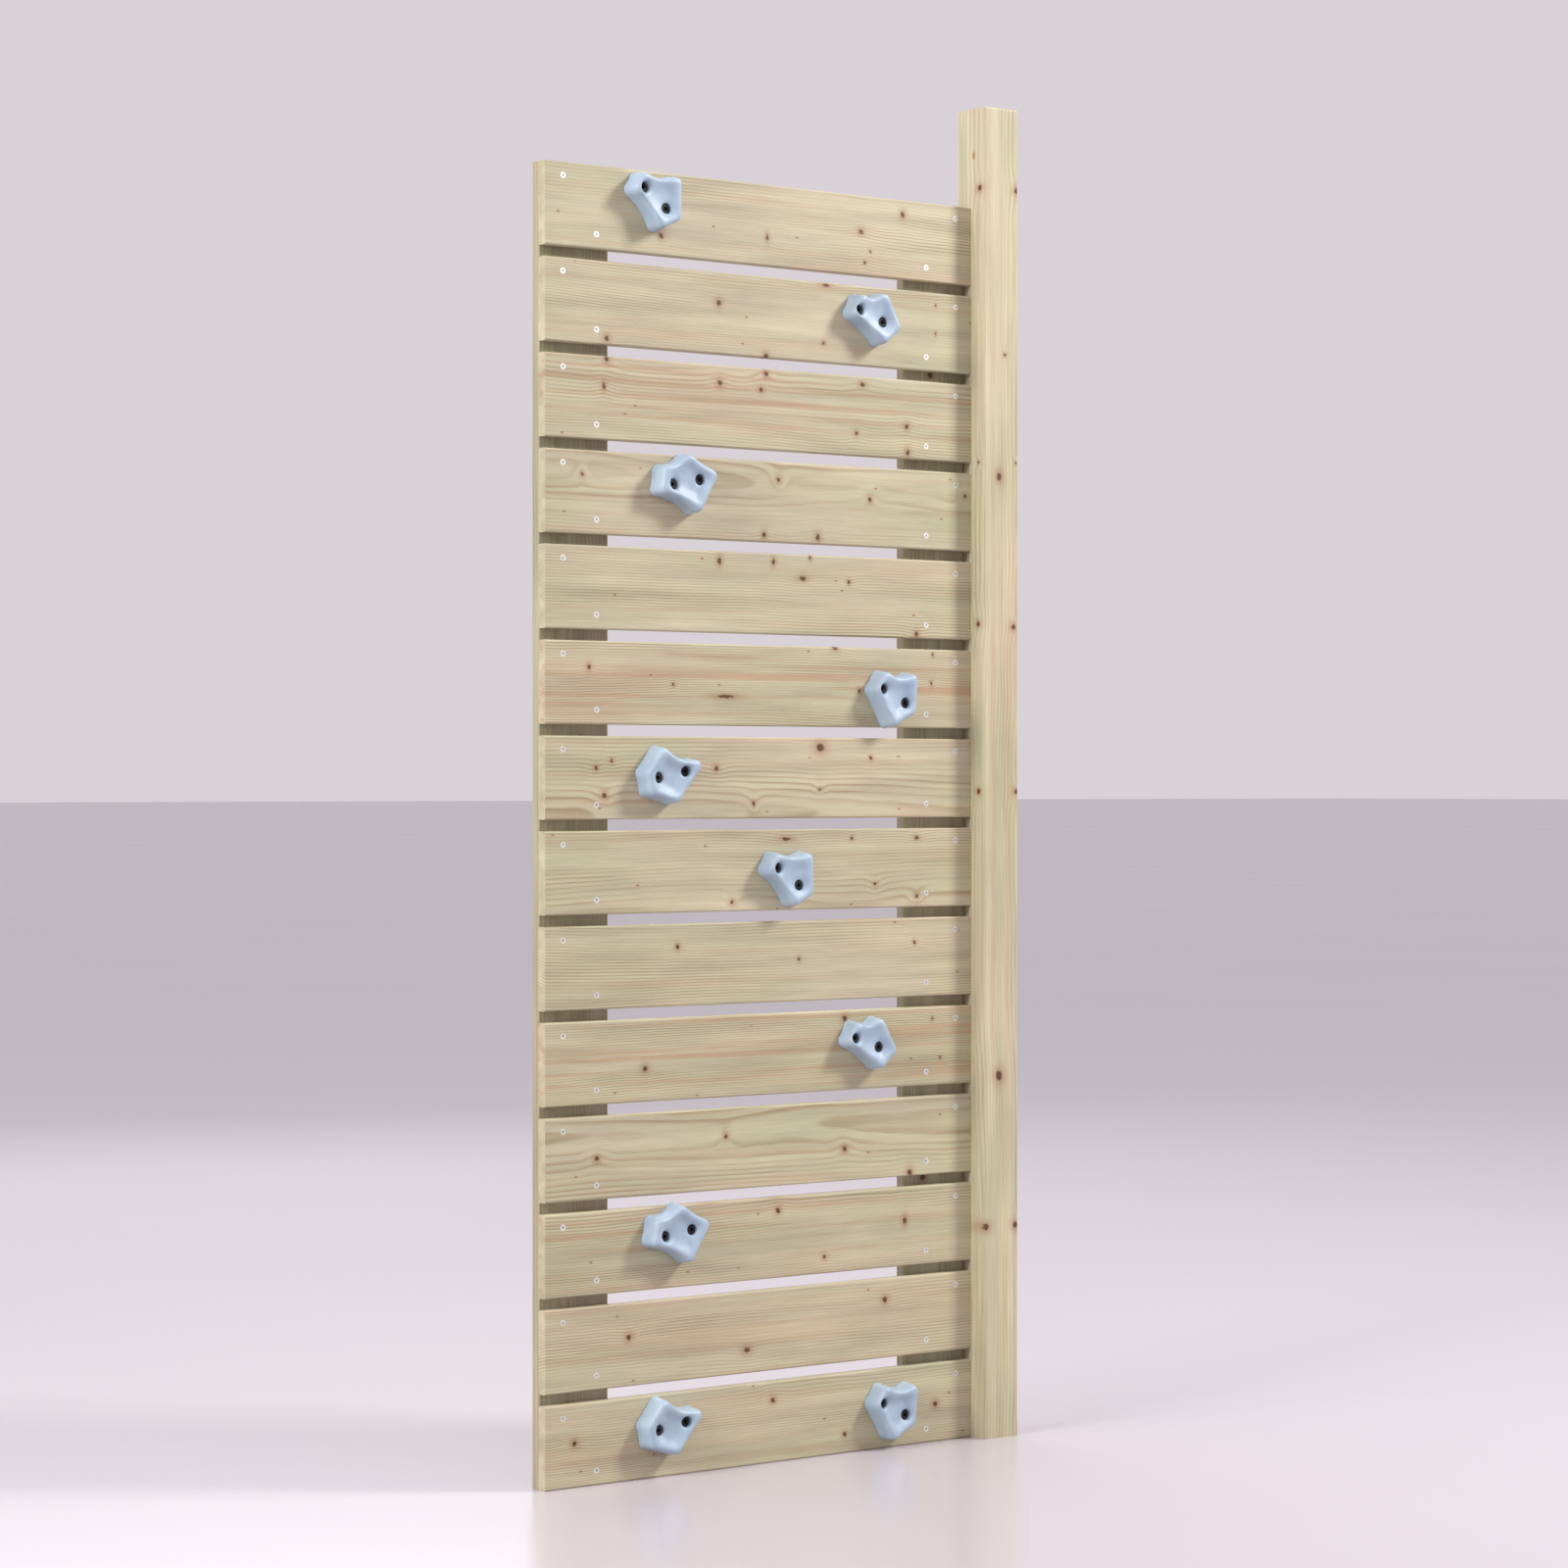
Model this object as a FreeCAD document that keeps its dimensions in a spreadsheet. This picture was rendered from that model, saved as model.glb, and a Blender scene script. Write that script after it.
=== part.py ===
import FreeCAD, Part
import math
import os
import re

import Sketcher
from FreeCAD import Placement, Rotation, Vector

# Slatted climbing wall for a wooden play tower. Fourteen horizontal boards are screwed from the front
# to an upright back board behind each end. A square corner post closes the right-hand edge and is held
# to the right back board by three joining plates. Ten moulded hand holds are bolted through the boards
# into T-nuts.
#
# Frame: +X along the boards to the right as seen by the climber, +Y into the wall, +Z up. The origin is
# on the ground below the middle of the whole object.

SIZES = {
    # Boards
    "wall_width": (816, "length of a climbing board"),
    "board_height": (125, "height of a climbing board"),
    "board_gap": (17, "open joint between two boards"),
    "board_thickness": (18, "thickness of a climbing board"),
    "board_edge_round": (3, "rounding of the long edges of every board"),
    "board_count": (14, "number of climbing boards"),
    "back_board_width": (125, "width of an upright back board"),
    "back_board_thickness": (18, "thickness of an upright back board"),
    # Corner post
    "post_side": (70, "side of the square post"),
    "post_height": (2130, "height of the post"),
    "post_edge_round": (4, "rounding of the post's edges"),
    # Board screws
    "screw_shank": (5, "diameter of a board screw and its hole"),
    "screw_head": (10, "diameter of a board screw's countersunk head"),
    "screw_tip_margin": (2, "wood left in the back board past a screw's tip"),
    "outer_screw_inset": (32, "outer screw, from the board's end"),
    "outer_screw_drop": (20, "outer screw, below the board's top edge"),
    "inner_screw_inset": (92, "inner screw, from the board's end"),
    "inner_screw_rise": (22, "inner screw, above the board's bottom edge"),
    "drive_width": (3.6, "width of the drive recess in a screw head"),
    "drive_slot_width": (1.1, "width of one arm of the drive recess"),
    "drive_depth": (1.6, "depth of the drive recess in a screw head"),
    "screw_point": (4, "length of a screw's point"),
    "screw_clearance": (0.05, "radial clearance of a screw in its hole"),
    # Holds
    "hold_height": (34, "how far a hold stands out from the boards"),
    "hold_draft": (5, "draft angle of a hold's sides, degrees"),
    "hold_edge_round": (7, "rounding of a hold's front edge"),
    "lobe_radius": (12, "radius of a hold's lobes at the boards"),
    "dish_radius": (55, "radius of the hollow in a hold's front"),
    "dish_depth": (10, "depth of the hollow in a hold's front"),
    "bolt_spacing": (50, "distance between a hold's two bolts"),
    "seat_height": (12, "plastic below a bolt's washer"),
    "recess_bore": (17, "diameter of the well around a bolt head"),
    "shank_bore": (9, "diameter of a bolt's hole in hold and board"),
    # Bolts, washers and T-nuts
    "bolt_shank": (8, "diameter of a hold bolt"),
    "bolt_head": (13, "diameter of a bolt's head"),
    "bolt_head_height": (8, "height of a bolt's head"),
    "bolt_key": (6, "width across the flats of the key socket"),
    "bolt_key_depth": (4, "depth of the key socket"),
    "bolt_tail": (3.4, "bolt past the back of the board"),
    "washer_width": (16, "outer diameter of a washer"),
    "washer_bore": (8.4, "bore of a washer"),
    "washer_thickness": (1.6, "thickness of a washer"),
    "nut_flange": (22, "diameter of a T-nut's flange"),
    "nut_flange_thickness": (1.5, "thickness of a T-nut's flange"),
    "nut_barrel": (10, "diameter of a T-nut's barrel"),
    "nut_barrel_length": (11, "length of a T-nut's barrel"),
    "nut_clearance": (0.05, "radial clearance in and around a T-nut"),
    # Joining plates
    "plate_height": (30, "height of a joining plate"),
    "plate_thickness": (2.5, "thickness of a joining plate"),
    "plate_margin": (5, "from a plate's end to the post's far side"),
    "plate_count": (3, "number of joining plates"),
    "plate_screw_shank": (4, "diameter of a plate screw and its hole"),
    "plate_screw_head": (8, "diameter of a plate screw's countersunk head"),
    "plate_screw_length": (16, "length of a plate screw"),
    "plate_screw_outer": (9, "outer plate screw, from the plate's end"),
    "plate_screw_inner": (14, "inner plate screw, from the joint"),
    # Pilot holes for the tower's rails
    "rail_edge_inset": (62.5, "top and base rail, from the panel's edge"),
    "deck_rail_height": (1223, "deck rail above the ground"),
    "rail_hole_spacing": (60, "height between a rail's two holes"),
    "rail_hole_bore": (5, "diameter of a rail's pilot hole"),
}

# Each mould is an outline of five lobes, listed counter-clockwise from the right-hand one. A lobe is its
# direction in degrees, its reach from the mould's middle, and the radius of the hollow side that follows
# it. Beside and above say where the mould's middle is from the midpoint of the two bolts.
MOULDS = {
    "wedge": {
        "beside": 2, "above": 5,
        "lobes": [(-5, 54, 300), (70, 52, 50), (170, 47, 40), (200, 47, 90), (315, 52, 50)],
    },
    "arrow": {
        "beside": 4, "above": 6,
        "lobes": [(-5, 57, 240), (70, 42, 20), (160, 42, 40), (200, 45, 120), (315, 54, 50)],
    },
    "star": {
        "beside": -2, "above": 3,
        "lobes": [(0, 61, 100), (70, 43, 30), (150, 48, 80), (190, 52, 90), (290, 57, 200)],
    },
    "shield": {
        "beside": 3, "above": 1,
        "lobes": [(-10, 48, 270), (65, 54, 30), (150, 47, 65), (190, 46, 400), (290, 51, 70)],
    },
    "boot": {
        "beside": -4, "above": -4,
        "lobes": [(10, 62, 55), (100, 51, 175), (160, 49, 60), (200, 48, 190), (275, 43, 300)],
    },
}

# Each hold: its mould, its board counted from the top, the line it is measured from, the bolts' midpoint
# to the right of that line and above the board's middle, and the turn of the bolt line. The lines are the
# inner edges of the two back boards and the panel's centre line.
LEFT, MIDDLE, RIGHT = "back_board_width", "wall_width / 2", "(wall_width - back_board_width)"
HOLDS = [
    ("wedge", 1, LEFT, 57, 19, -35),
    ("arrow", 2, RIGHT, -97, 13, -19),
    ("star", 4, LEFT, 115, 21, 10),
    ("shield", 6, RIGHT, -51, -13, -26),
    ("boot", 7, LEFT, 88, 5, 11),
    ("wedge", 8, MIDDLE, 24, -10, -33),
    ("arrow", 10, RIGHT, -105, 12, -18),
    ("star", 12, LEFT, 100, 23, 8),
    ("boot", 14, LEFT, 89, 17, 10),
    ("shield", 14, RIGHT, -51, 2, -26),
]

# Places that follow from the sizes, in the object's own frame.
PITCH = "(board_height + board_gap)"
LEFT_END = "(-(wall_width + post_side) / 2)"
WALL_DEPTH = "(board_thickness + back_board_thickness)"
BOARD_FACE = f"((hold_height - {WALL_DEPTH} - plate_thickness) / 2)"
PANEL_HEIGHT = f"(board_count * {PITCH} - board_gap)"
SCREW_LENGTH = f"({WALL_DEPTH} - screw_tip_margin)"
BOLT_LENGTH = "(washer_thickness + seat_height + board_thickness + bolt_tail)"
PLATE_LENGTH = "(2 * (post_side - plate_margin))"

COUNTERSINK_ANGLE = 90

# How nearly a direction has to match, as a cosine, and how nearly a height has to, in millimetres.
ALONG = 0.999
HAIR = 0.01

doc = FreeCAD.newDocument("ClimbingWall")
sheet = doc.addObject("Spreadsheet::Sheet", "Sizes")
parts = []


# --------------------------------------------------------------------------------------------------
# Sizes and expressions
# --------------------------------------------------------------------------------------------------

def fill_sheet():
    """Write every driving size as a named cell, with the words that say what it is beside it."""
    rows = [(name, amount, words) for name, (amount, words) in SIZES.items()]
    for mould, shape in MOULDS.items():
        rows.append((f"{mould}_beside", shape["beside"], "mould's middle, right of the bolts' midpoint"))
        rows.append((f"{mould}_above", shape["above"], "mould's middle, above the bolts' midpoint"))
        for number, (direction, reach, hollow) in enumerate(shape["lobes"], 1):
            rows.append((f"{mould}_direction_{number}", direction, "direction of a lobe, degrees"))
            rows.append((f"{mould}_reach_{number}", reach, "reach of a lobe from the mould's middle"))
            rows.append((f"{mould}_hollow_{number}", hollow, "radius of the side after this lobe"))
    for number, (_, board, _, across, rise, turn) in enumerate(HOLDS, 1):
        rows.append((f"hold_{number:02d}_board", board, "board that carries the hold, from the top"))
        rows.append((f"hold_{number:02d}_across", across, "bolts' midpoint, right of its line"))
        rows.append((f"hold_{number:02d}_rise", rise, "bolts' midpoint, above the board's middle"))
        rows.append((f"hold_{number:02d}_turn", turn, "turn of the bolt line, degrees"))
    for row, (name, amount, words) in enumerate(rows, 1):
        sheet.set(f"A{row}", words)
        sheet.set(f"B{row}", str(amount))
        sheet.setAlias(f"B{row}", name)
    doc.recompute()


def cells(expression):
    """The expression with every size's name written as a cell of the sheet."""
    return re.sub(r"\b([a-z]+_[a-z0-9_]+)\b", r"Sizes.\1", str(expression))


def value(expression):
    """The number that an expression over the sizes gives now."""
    return float(sheet.evalExpression(cells(expression)))


def bind(thing, **properties):
    """Tie each property to its expression."""
    for name, expression in properties.items():
        thing.setExpression(name, cells(expression))


def place(thing, x="0", y="0", z="0", turn="0", facing="0"):
    """Tie the thing's place to expressions. Facing 90 turns its own z axis towards the climber."""
    where = f"vector({x}; {y}; {z})"
    bind(thing, Placement=f"placement({where}; rotation(0; -({turn}); {facing}))")


# --------------------------------------------------------------------------------------------------
# Sketches and bodies
# --------------------------------------------------------------------------------------------------

def new_body(label, *where, **turned):
    """An empty body at the given place."""
    body = doc.addObject("PartDesign::Body", label)
    body.Label = label
    place(body, *where, **turned)
    return body


def origin_plane(body, role):
    """One of the body's own origin planes."""
    return next(item for item in body.Origin.OriginFeatures if item.Role == role)


def new_sketch(body, name, role, offset="0"):
    """A sketch on an origin plane of the body, moved along that plane's normal by an expression."""
    sketch = body.newObject("Sketcher::SketchObject", name)
    sketch.AttachmentSupport = [(origin_plane(body, role), "")]
    sketch.MapMode = "FlatFace"
    sketch.setExpression(".AttachmentOffset.Base.z", cells(offset))
    return sketch


def constrain(sketch, kind, *where, size):
    """Add one dimension to the sketch and tie it to its expression."""
    index = sketch.addConstraint(Sketcher.Constraint(kind, *where, value(size)))
    sketch.setExpression(f"Constraints[{index}]", cells(size))


def constrain_point(sketch, geometry, point, x, y):
    """Tie a point of the sketch to a place measured from the sketch's origin."""
    constrain(sketch, "DistanceX", -1, 1, geometry, point, size=x)
    constrain(sketch, "DistanceY", -1, 1, geometry, point, size=y)


def add_rectangle(sketch, width, height):
    """A rectangle with its lower left corner on the sketch's origin."""
    right, top = value(width), value(height)
    corners = [Vector(0, 0), Vector(right, 0), Vector(right, top), Vector(0, top)]
    for start, end in zip(corners, corners[1:] + corners[:1]):
        sketch.addGeometry(Part.LineSegment(start, end), False)
    for line in range(4):
        sketch.addConstraint(Sketcher.Constraint("Coincident", line, 2, (line + 1) % 4, 1))
        sketch.addConstraint(Sketcher.Constraint("Vertical" if line % 2 else "Horizontal", line))
    sketch.addConstraint(Sketcher.Constraint("Coincident", 0, 1, -1, 1))
    constrain(sketch, "DistanceX", 0, 1, 0, 2, size=width)
    constrain(sketch, "DistanceY", 1, 1, 1, 2, size=height)


def add_circle(sketch, x, y, diameter):
    """A circle round a place measured from the sketch's origin."""
    centre = Vector(value(x), value(y))
    index = sketch.addGeometry(Part.Circle(centre, Vector(0, 0, 1), value(diameter) / 2), False)
    constrain_point(sketch, index, 3, x, y)
    constrain(sketch, "Diameter", index, size=diameter)


def add_feature(body, kind, name, profile, reversed_way=False, **sizes):
    """A sketch-based feature with its sizes tied to expressions."""
    feature = body.newObject(f"PartDesign::{kind}", name)
    feature.Profile = profile
    feature.Reversed = reversed_way
    bind(feature, **sizes)
    doc.recompute()
    return feature


def cut_through(body, name, sketch, reversed_way=False):
    """Cut the sketch's circles right through the body."""
    pocket = add_feature(body, "Pocket", name, sketch, reversed_way)
    pocket.Type = "ThroughAll"
    doc.recompute()
    return pocket


def countersink(body, name, sketch, shank, head):
    """Screw holes right through the body, with a countersink at the sketch's plane."""
    hole = body.newObject("PartDesign::Hole", name)
    hole.Profile = sketch
    doc.recompute()
    hole.DepthType = "ThroughAll"
    hole.ThreadType = "None"
    hole.HoleCutType = "Countersink"
    hole.HoleCutCustomValues = True
    hole.HoleCutCountersinkAngle = COUNTERSINK_ANGLE
    bind(hole, Diameter=shank, HoleCutDiameter=head)
    doc.recompute()
    return hole


def round_edges(body, base, edges, radius):
    """Round the named edges of a feature."""
    fillet = body.newObject("PartDesign::Fillet", "Rounding")
    fillet.Base = (base, edges)
    bind(fillet, Radius=radius)
    doc.recompute()
    return fillet


def edges_along(feature, direction):
    """Names of the straight edges of a feature that run along a direction."""
    names = []
    for number, edge in enumerate(feature.Shape.Edges, 1):
        if isinstance(edge.Curve, Part.Line) and abs(edge.Curve.Direction.dot(direction)) > ALONG:
            names.append(f"Edge{number}")
    return names


def finish(thing):
    """Keep the thing as one of the sub-parts that are written."""
    parts.append(thing)
    return thing


# --------------------------------------------------------------------------------------------------
# Places that the pieces share
# --------------------------------------------------------------------------------------------------

def board_bottom(number):
    """Height of the lower edge of a board, counted from the top."""
    return f"((board_count - {number}) * {PITCH})"


def screw_places():
    """The four screws of a board, from its lower left corner."""
    outer = ("outer_screw_inset", "(board_height - outer_screw_drop)")
    inner = ("inner_screw_inset", "inner_screw_rise")
    return [outer, inner] + [(f"(wall_width - {x})", z) for x, z in (inner, outer)]


def hold_centre(number):
    """Bolts' midpoint of a hold, from the panel's lower left corner on the boards' face."""
    line = HOLDS[number - 1][2]
    name = f"hold_{number:02d}"
    x = f"({line} + {name}_across)"
    z = f"((board_count - {name}_board) * {PITCH} + board_height / 2 + {name}_rise)"
    return x, z


def bolt_places(number):
    """The two bolts of a hold, from the panel's lower left corner on the boards' face."""
    x, z = hold_centre(number)
    turn = f"hold_{number:02d}_turn"
    return [
        (f"({x} {sign} bolt_spacing / 2 * cos({turn}))", f"({z} {sign} bolt_spacing / 2 * sin({turn}))")
        for sign in "-+"
    ]


def plate_heights():
    """Middle of each joining plate above the ground."""
    return [f"({PANEL_HEIGHT} * ({index} + 0.5) / plate_count)" for index in range(int(value("plate_count")))]


def plate_screw_places():
    """Screws of a joining plate to the right of the joint. The same lie to its left."""
    return ["plate_screw_inner", f"({PLATE_LENGTH} / 2 - plate_screw_outer)"]


def rail_hole_heights():
    """The pilot holes of the three tower rails above the ground."""
    rails = ["rail_edge_inset", "deck_rail_height", f"({PANEL_HEIGHT} - rail_edge_inset)"]
    return [f"({height} {sign} rail_hole_spacing / 2)" for height in rails for sign in "-+"]


# --------------------------------------------------------------------------------------------------
# Boards and post
# --------------------------------------------------------------------------------------------------

def make_board(number):
    """A climbing board with its countersunk screw holes and, behind a hold, bolt holes and T-nut seats."""
    body = new_body(f"board_{number:02d}", LEFT_END, BOARD_FACE, board_bottom(number))
    outline = new_sketch(body, "Outline", "XZ_Plane")
    add_rectangle(outline, "wall_width", "board_height")
    plank = add_feature(body, "Pad", "Plank", outline, True, Length="board_thickness")
    round_edges(body, plank, edges_along(plank, Vector(1, 0, 0)), "board_edge_round")

    screws = new_sketch(body, "ScrewPlaces", "XZ_Plane")
    for x, z in screw_places():
        add_circle(screws, x, z, "screw_shank")
    countersink(body, "ScrewHoles", screws, "screw_shank", "screw_head")

    bolts = []
    for hold, (_, board, *_) in enumerate(HOLDS, 1):
        if board == number:
            bolts += [(x, f"({z} - {board_bottom(number)})") for x, z in bolt_places(hold)]
    if bolts:
        holes = new_sketch(body, "BoltPlaces", "XZ_Plane")
        seats = new_sketch(body, "NutPlaces", "XZ_Plane", offset="-(board_thickness)")
        for x, z in bolts:
            add_circle(holes, x, z, "shank_bore")
            add_circle(seats, x, z, "(nut_barrel + 2 * nut_clearance)")
        cut_through(body, "BoltHoles", holes)
        add_feature(body, "Pocket", "NutSeats", seats, True, Length="nut_barrel_length")
    return finish(body)


def make_back_board(label, x, screws, plated):
    """An upright back board with pilot holes for the board screws, the rails and, if plated, the plates."""
    body = new_body(label, x, f"({BOARD_FACE} + board_thickness)", "0")
    outline = new_sketch(body, "Outline", "XZ_Plane")
    add_rectangle(outline, "back_board_width", PANEL_HEIGHT)
    plank = add_feature(body, "Pad", "Plank", outline, True, Length="back_board_thickness")
    round_edges(body, plank, edges_along(plank, Vector(0, 0, 1)), "board_edge_round")

    first = new_sketch(body, "ScrewPlaces", "XZ_Plane")
    for across, height in screws:
        add_circle(first, across, height, "screw_shank")
    pilots = add_feature(body, "Pocket", "PilotHoles", first, Length=f"({SCREW_LENGTH} - board_thickness)")
    pattern = body.newObject("PartDesign::LinearPattern", "PilotsUpTheBoard")
    pattern.Originals = [pilots]
    pattern.Direction = (first, ["V_Axis"])
    bind(pattern, Length=f"((board_count - 1) * {PITCH})", Occurrences="board_count")
    body.Tip = pattern
    doc.recompute()

    rails = new_sketch(body, "RailHolePlaces", "XZ_Plane")
    for height in rail_hole_heights():
        add_circle(rails, "(back_board_width / 2)", height, "rail_hole_bore")
    cut_through(body, "RailHoles", rails)

    if plated:
        cut_plate_pilots(body, [f"(back_board_width - {across})" for across in plate_screw_places()],
                         "back_board_thickness")
    return finish(body)


def cut_plate_pilots(body, columns, depth):
    """Blind holes for the plate screws, cut from the back of a body that is this deep."""
    sketch = new_sketch(body, "PlateScrewPlaces", "XZ_Plane", offset=f"-({depth})")
    for height in plate_heights():
        for across in columns:
            add_circle(sketch, across, height, "plate_screw_shank")
    add_feature(body, "Pocket", "PlatePilots", sketch, True, Length="(plate_screw_length - plate_thickness)")


def make_post():
    """The corner post. Its back lies flush with the back boards."""
    front = f"({BOARD_FACE} + {WALL_DEPTH} - post_side)"
    body = new_body("corner_post", f"({LEFT_END} + wall_width)", front, "0")
    outline = new_sketch(body, "Outline", "XY_Plane")
    add_rectangle(outline, "post_side", "post_side")
    beam = add_feature(body, "Pad", "Beam", outline, Length="post_height")
    top = value("post_height")
    edges = [
        f"Edge{number}"
        for number, edge in enumerate(beam.Shape.Edges, 1)
        if edge.BoundBox.ZMax > top / 2
    ]
    round_edges(body, beam, edges, "post_edge_round")
    cut_plate_pilots(body, plate_screw_places(), "post_side")
    return finish(body)


# --------------------------------------------------------------------------------------------------
# Holds
# --------------------------------------------------------------------------------------------------

def lobe_centre(mould, number):
    """Middle of a lobe's round tip in the mould's own sketch."""
    arm = f"({mould}_reach_{number} - lobe_radius)"
    turn = f"{mould}_direction_{number}"
    return f"({mould}_beside + {arm} * cos({turn}))", f"({mould}_above + {arm} * sin({turn}))"


def hollow_centre(start, end, radius, hollow):
    """Middle of the arc outside a shape that touches two equal circles from outside."""
    chord = end - start
    outward = Vector(chord.y, -chord.x).normalize()
    height = math.sqrt((radius + hollow) ** 2 - chord.Length ** 2 / 4)
    return start + chord / 2 + outward * height


def arc_between(centre, radius, start, end):
    """The counter-clockwise arc of a circle from one direction to another."""
    first = math.atan2(start.y - centre.y, start.x - centre.x)
    last = math.atan2(end.y - centre.y, end.x - centre.x)
    return Part.ArcOfCircle(Part.Circle(centre, Vector(0, 0, 1), radius), first, last)


def add_mould_outline(sketch, mould):
    """Round lobes joined by hollow sides, each arc tangent to the next."""
    count = len(MOULDS[mould]["lobes"])
    places = [lobe_centre(mould, number) for number in range(1, count + 1)]
    tips = [Vector(value(x), value(y)) for x, y in places]
    radius = value("lobe_radius")
    hollows = [value(f"{mould}_hollow_{number}") for number in range(1, count + 1)]
    middles = [
        hollow_centre(tips[index], tips[(index + 1) % count], radius, hollows[index])
        for index in range(count)
    ]
    for index in range(count):
        following = tips[(index + 1) % count]
        sketch.addGeometry(arc_between(tips[index], radius, middles[index - 1], middles[index]), False)
        sketch.addGeometry(arc_between(middles[index], hollows[index], following, tips[index]), False)
    for index in range(count):
        lobe, hollow = 2 * index, 2 * index + 1
        sketch.addConstraint(Sketcher.Constraint("Tangent", lobe, 2, hollow, 2))
        sketch.addConstraint(Sketcher.Constraint("Tangent", hollow, 1, (hollow + 1) % (2 * count), 1))
        constrain_point(sketch, lobe, 3, *places[index])
        constrain(sketch, "Radius", lobe, size="lobe_radius")
        constrain(sketch, "Radius", hollow, size=f"{mould}_hollow_{index + 1}")


def make_hold(number):
    """A moulded hold: drafted sides, a rounded front edge, a dished front and two stepped bolt holes."""
    mould = HOLDS[number - 1][0]
    name = f"hold_{number:02d}"
    x, z = hold_centre(number)
    body = new_body(name, f"({LEFT_END} + {x})", BOARD_FACE, z, turn=f"{name}_turn", facing="90")
    outline = new_sketch(body, "Outline", "XY_Plane")
    add_mould_outline(outline, mould)
    block = add_feature(body, "Pad", "Block", outline, Length="hold_height", TaperAngle="-hold_draft")
    front = [
        f"Edge{index}"
        for index, edge in enumerate(block.Shape.Edges, 1)
        if edge.BoundBox.ZMin > value("hold_height") - HAIR
    ]
    round_edges(body, block, front, "hold_edge_round")

    dish = body.newObject("PartDesign::SubtractiveSphere", "Dish")
    dish.AttachmentSupport = [(origin_plane(body, "XY_Plane"), "")]
    dish.MapMode = "FlatFace"
    bind(dish, Radius="dish_radius")
    dish.setExpression(".AttachmentOffset.Base.x", cells(f"{mould}_beside"))
    dish.setExpression(".AttachmentOffset.Base.y", cells(f"{mould}_above"))
    dish.setExpression(".AttachmentOffset.Base.z", cells("hold_height - dish_depth + dish_radius"))
    doc.recompute()

    shanks = new_sketch(body, "ShankPlaces", "XY_Plane")
    wells = new_sketch(body, "WellPlaces", "XY_Plane", offset="seat_height")
    for across in ("(-bolt_spacing / 2)", "(bolt_spacing / 2)"):
        add_circle(shanks, across, "0", "shank_bore")
        add_circle(wells, across, "0", "recess_bore")
    cut_through(body, "ShankHoles", shanks, True)
    cut_through(body, "Wells", wells, True)
    return finish(body)


# --------------------------------------------------------------------------------------------------
# Fasteners and plates: one pattern of each is modelled about its own z axis, and every group holds its copies
# --------------------------------------------------------------------------------------------------

def primitive(kind, label, z="0", **sizes):
    """A Part primitive standing on its own z axis at a height."""
    item = doc.addObject(f"Part::{kind}", label)
    bind(item, **sizes)
    place(item, z=z)
    return item


def join(label, *items):
    """One solid of several primitives."""
    fused = doc.addObject("Part::MultiFuse", label)
    fused.Shapes = list(items)
    return fused


def cut(label, base, tool):
    """The base without the tool."""
    result = doc.addObject("Part::Cut", label)
    result.Base = base
    result.Tool = tool
    return result


def drive_slot(label, length, width):
    """One arm of a cross recess in a screw head whose face lies at height zero."""
    slot = doc.addObject("Part::Box", label)
    bind(slot, Length=length, Width=width, Height="drive_depth")
    place(slot, f"(-{length} / 2)", f"(-{width} / 2)", "-drive_depth")
    return slot


def screw_pattern(label, shank, head, length):
    """A countersunk wood screw. Its head's face lies at height zero and it points down."""
    shank_radius = f"({shank} / 2 - screw_clearance)"
    head_radius = f"({head} / 2 - screw_clearance)"
    head_height = f"(({head} - {shank}) / 2)"
    cone = primitive("Cone", f"{label}_head", f"-{head_height}",
                     Radius1=shank_radius, Radius2=head_radius, Height=head_height)
    rod = primitive("Cylinder", f"{label}_shank", f"(screw_point - {length})",
                    Radius=shank_radius, Height=f"({length} - screw_point - {head_height})")
    point = primitive("Cone", f"{label}_point", f"-({length})",
                      Radius1="0", Radius2=shank_radius, Height="screw_point")
    cross = join(f"{label}_cross", drive_slot(f"{label}_slot_across", "drive_width", "drive_slot_width"),
                 drive_slot(f"{label}_slot_along", "drive_slot_width", "drive_width"))
    return cut(label, join(f"{label}_blank", cone, rod, point), cross)


def bolt_pattern():
    """A socket-head bolt. The underside of its head lies at height zero."""
    head = primitive("Cylinder", "bolt_head_blank", Radius="bolt_head / 2", Height="bolt_head_height")
    shank = primitive("Cylinder", "bolt_shank_blank", f"-{BOLT_LENGTH}",
                      Radius="bolt_shank / 2", Height=BOLT_LENGTH)
    socket = primitive("Prism", "bolt_socket", "(bolt_head_height - bolt_key_depth)",
                       Circumradius="bolt_key / 2 / cos(30)", Height="bolt_key_depth")
    return cut("bolt", join("bolt_blank", head, shank), socket)


def washer_pattern():
    """A flat washer standing on height zero."""
    disc = primitive("Cylinder", "washer_disc", Radius="washer_width / 2", Height="washer_thickness")
    bore = primitive("Cylinder", "washer_hole", Radius="washer_bore / 2", Height="washer_thickness")
    return cut("washer", disc, bore)


def nut_pattern():
    """A T-nut. Its flange hangs below height zero and its barrel stands above it."""
    flange = primitive("Cylinder", "nut_flange_disc", "-nut_flange_thickness",
                       Radius="nut_flange / 2", Height="nut_flange_thickness")
    barrel = primitive("Cylinder", "nut_barrel_rod", Radius="nut_barrel / 2", Height="nut_barrel_length")
    bore = primitive("Cylinder", "nut_bore", "-nut_flange_thickness", Radius="bolt_shank / 2 + nut_clearance",
                     Height="nut_flange_thickness + nut_barrel_length")
    return cut("nut", join("nut_blank", flange, barrel), bore)


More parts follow.
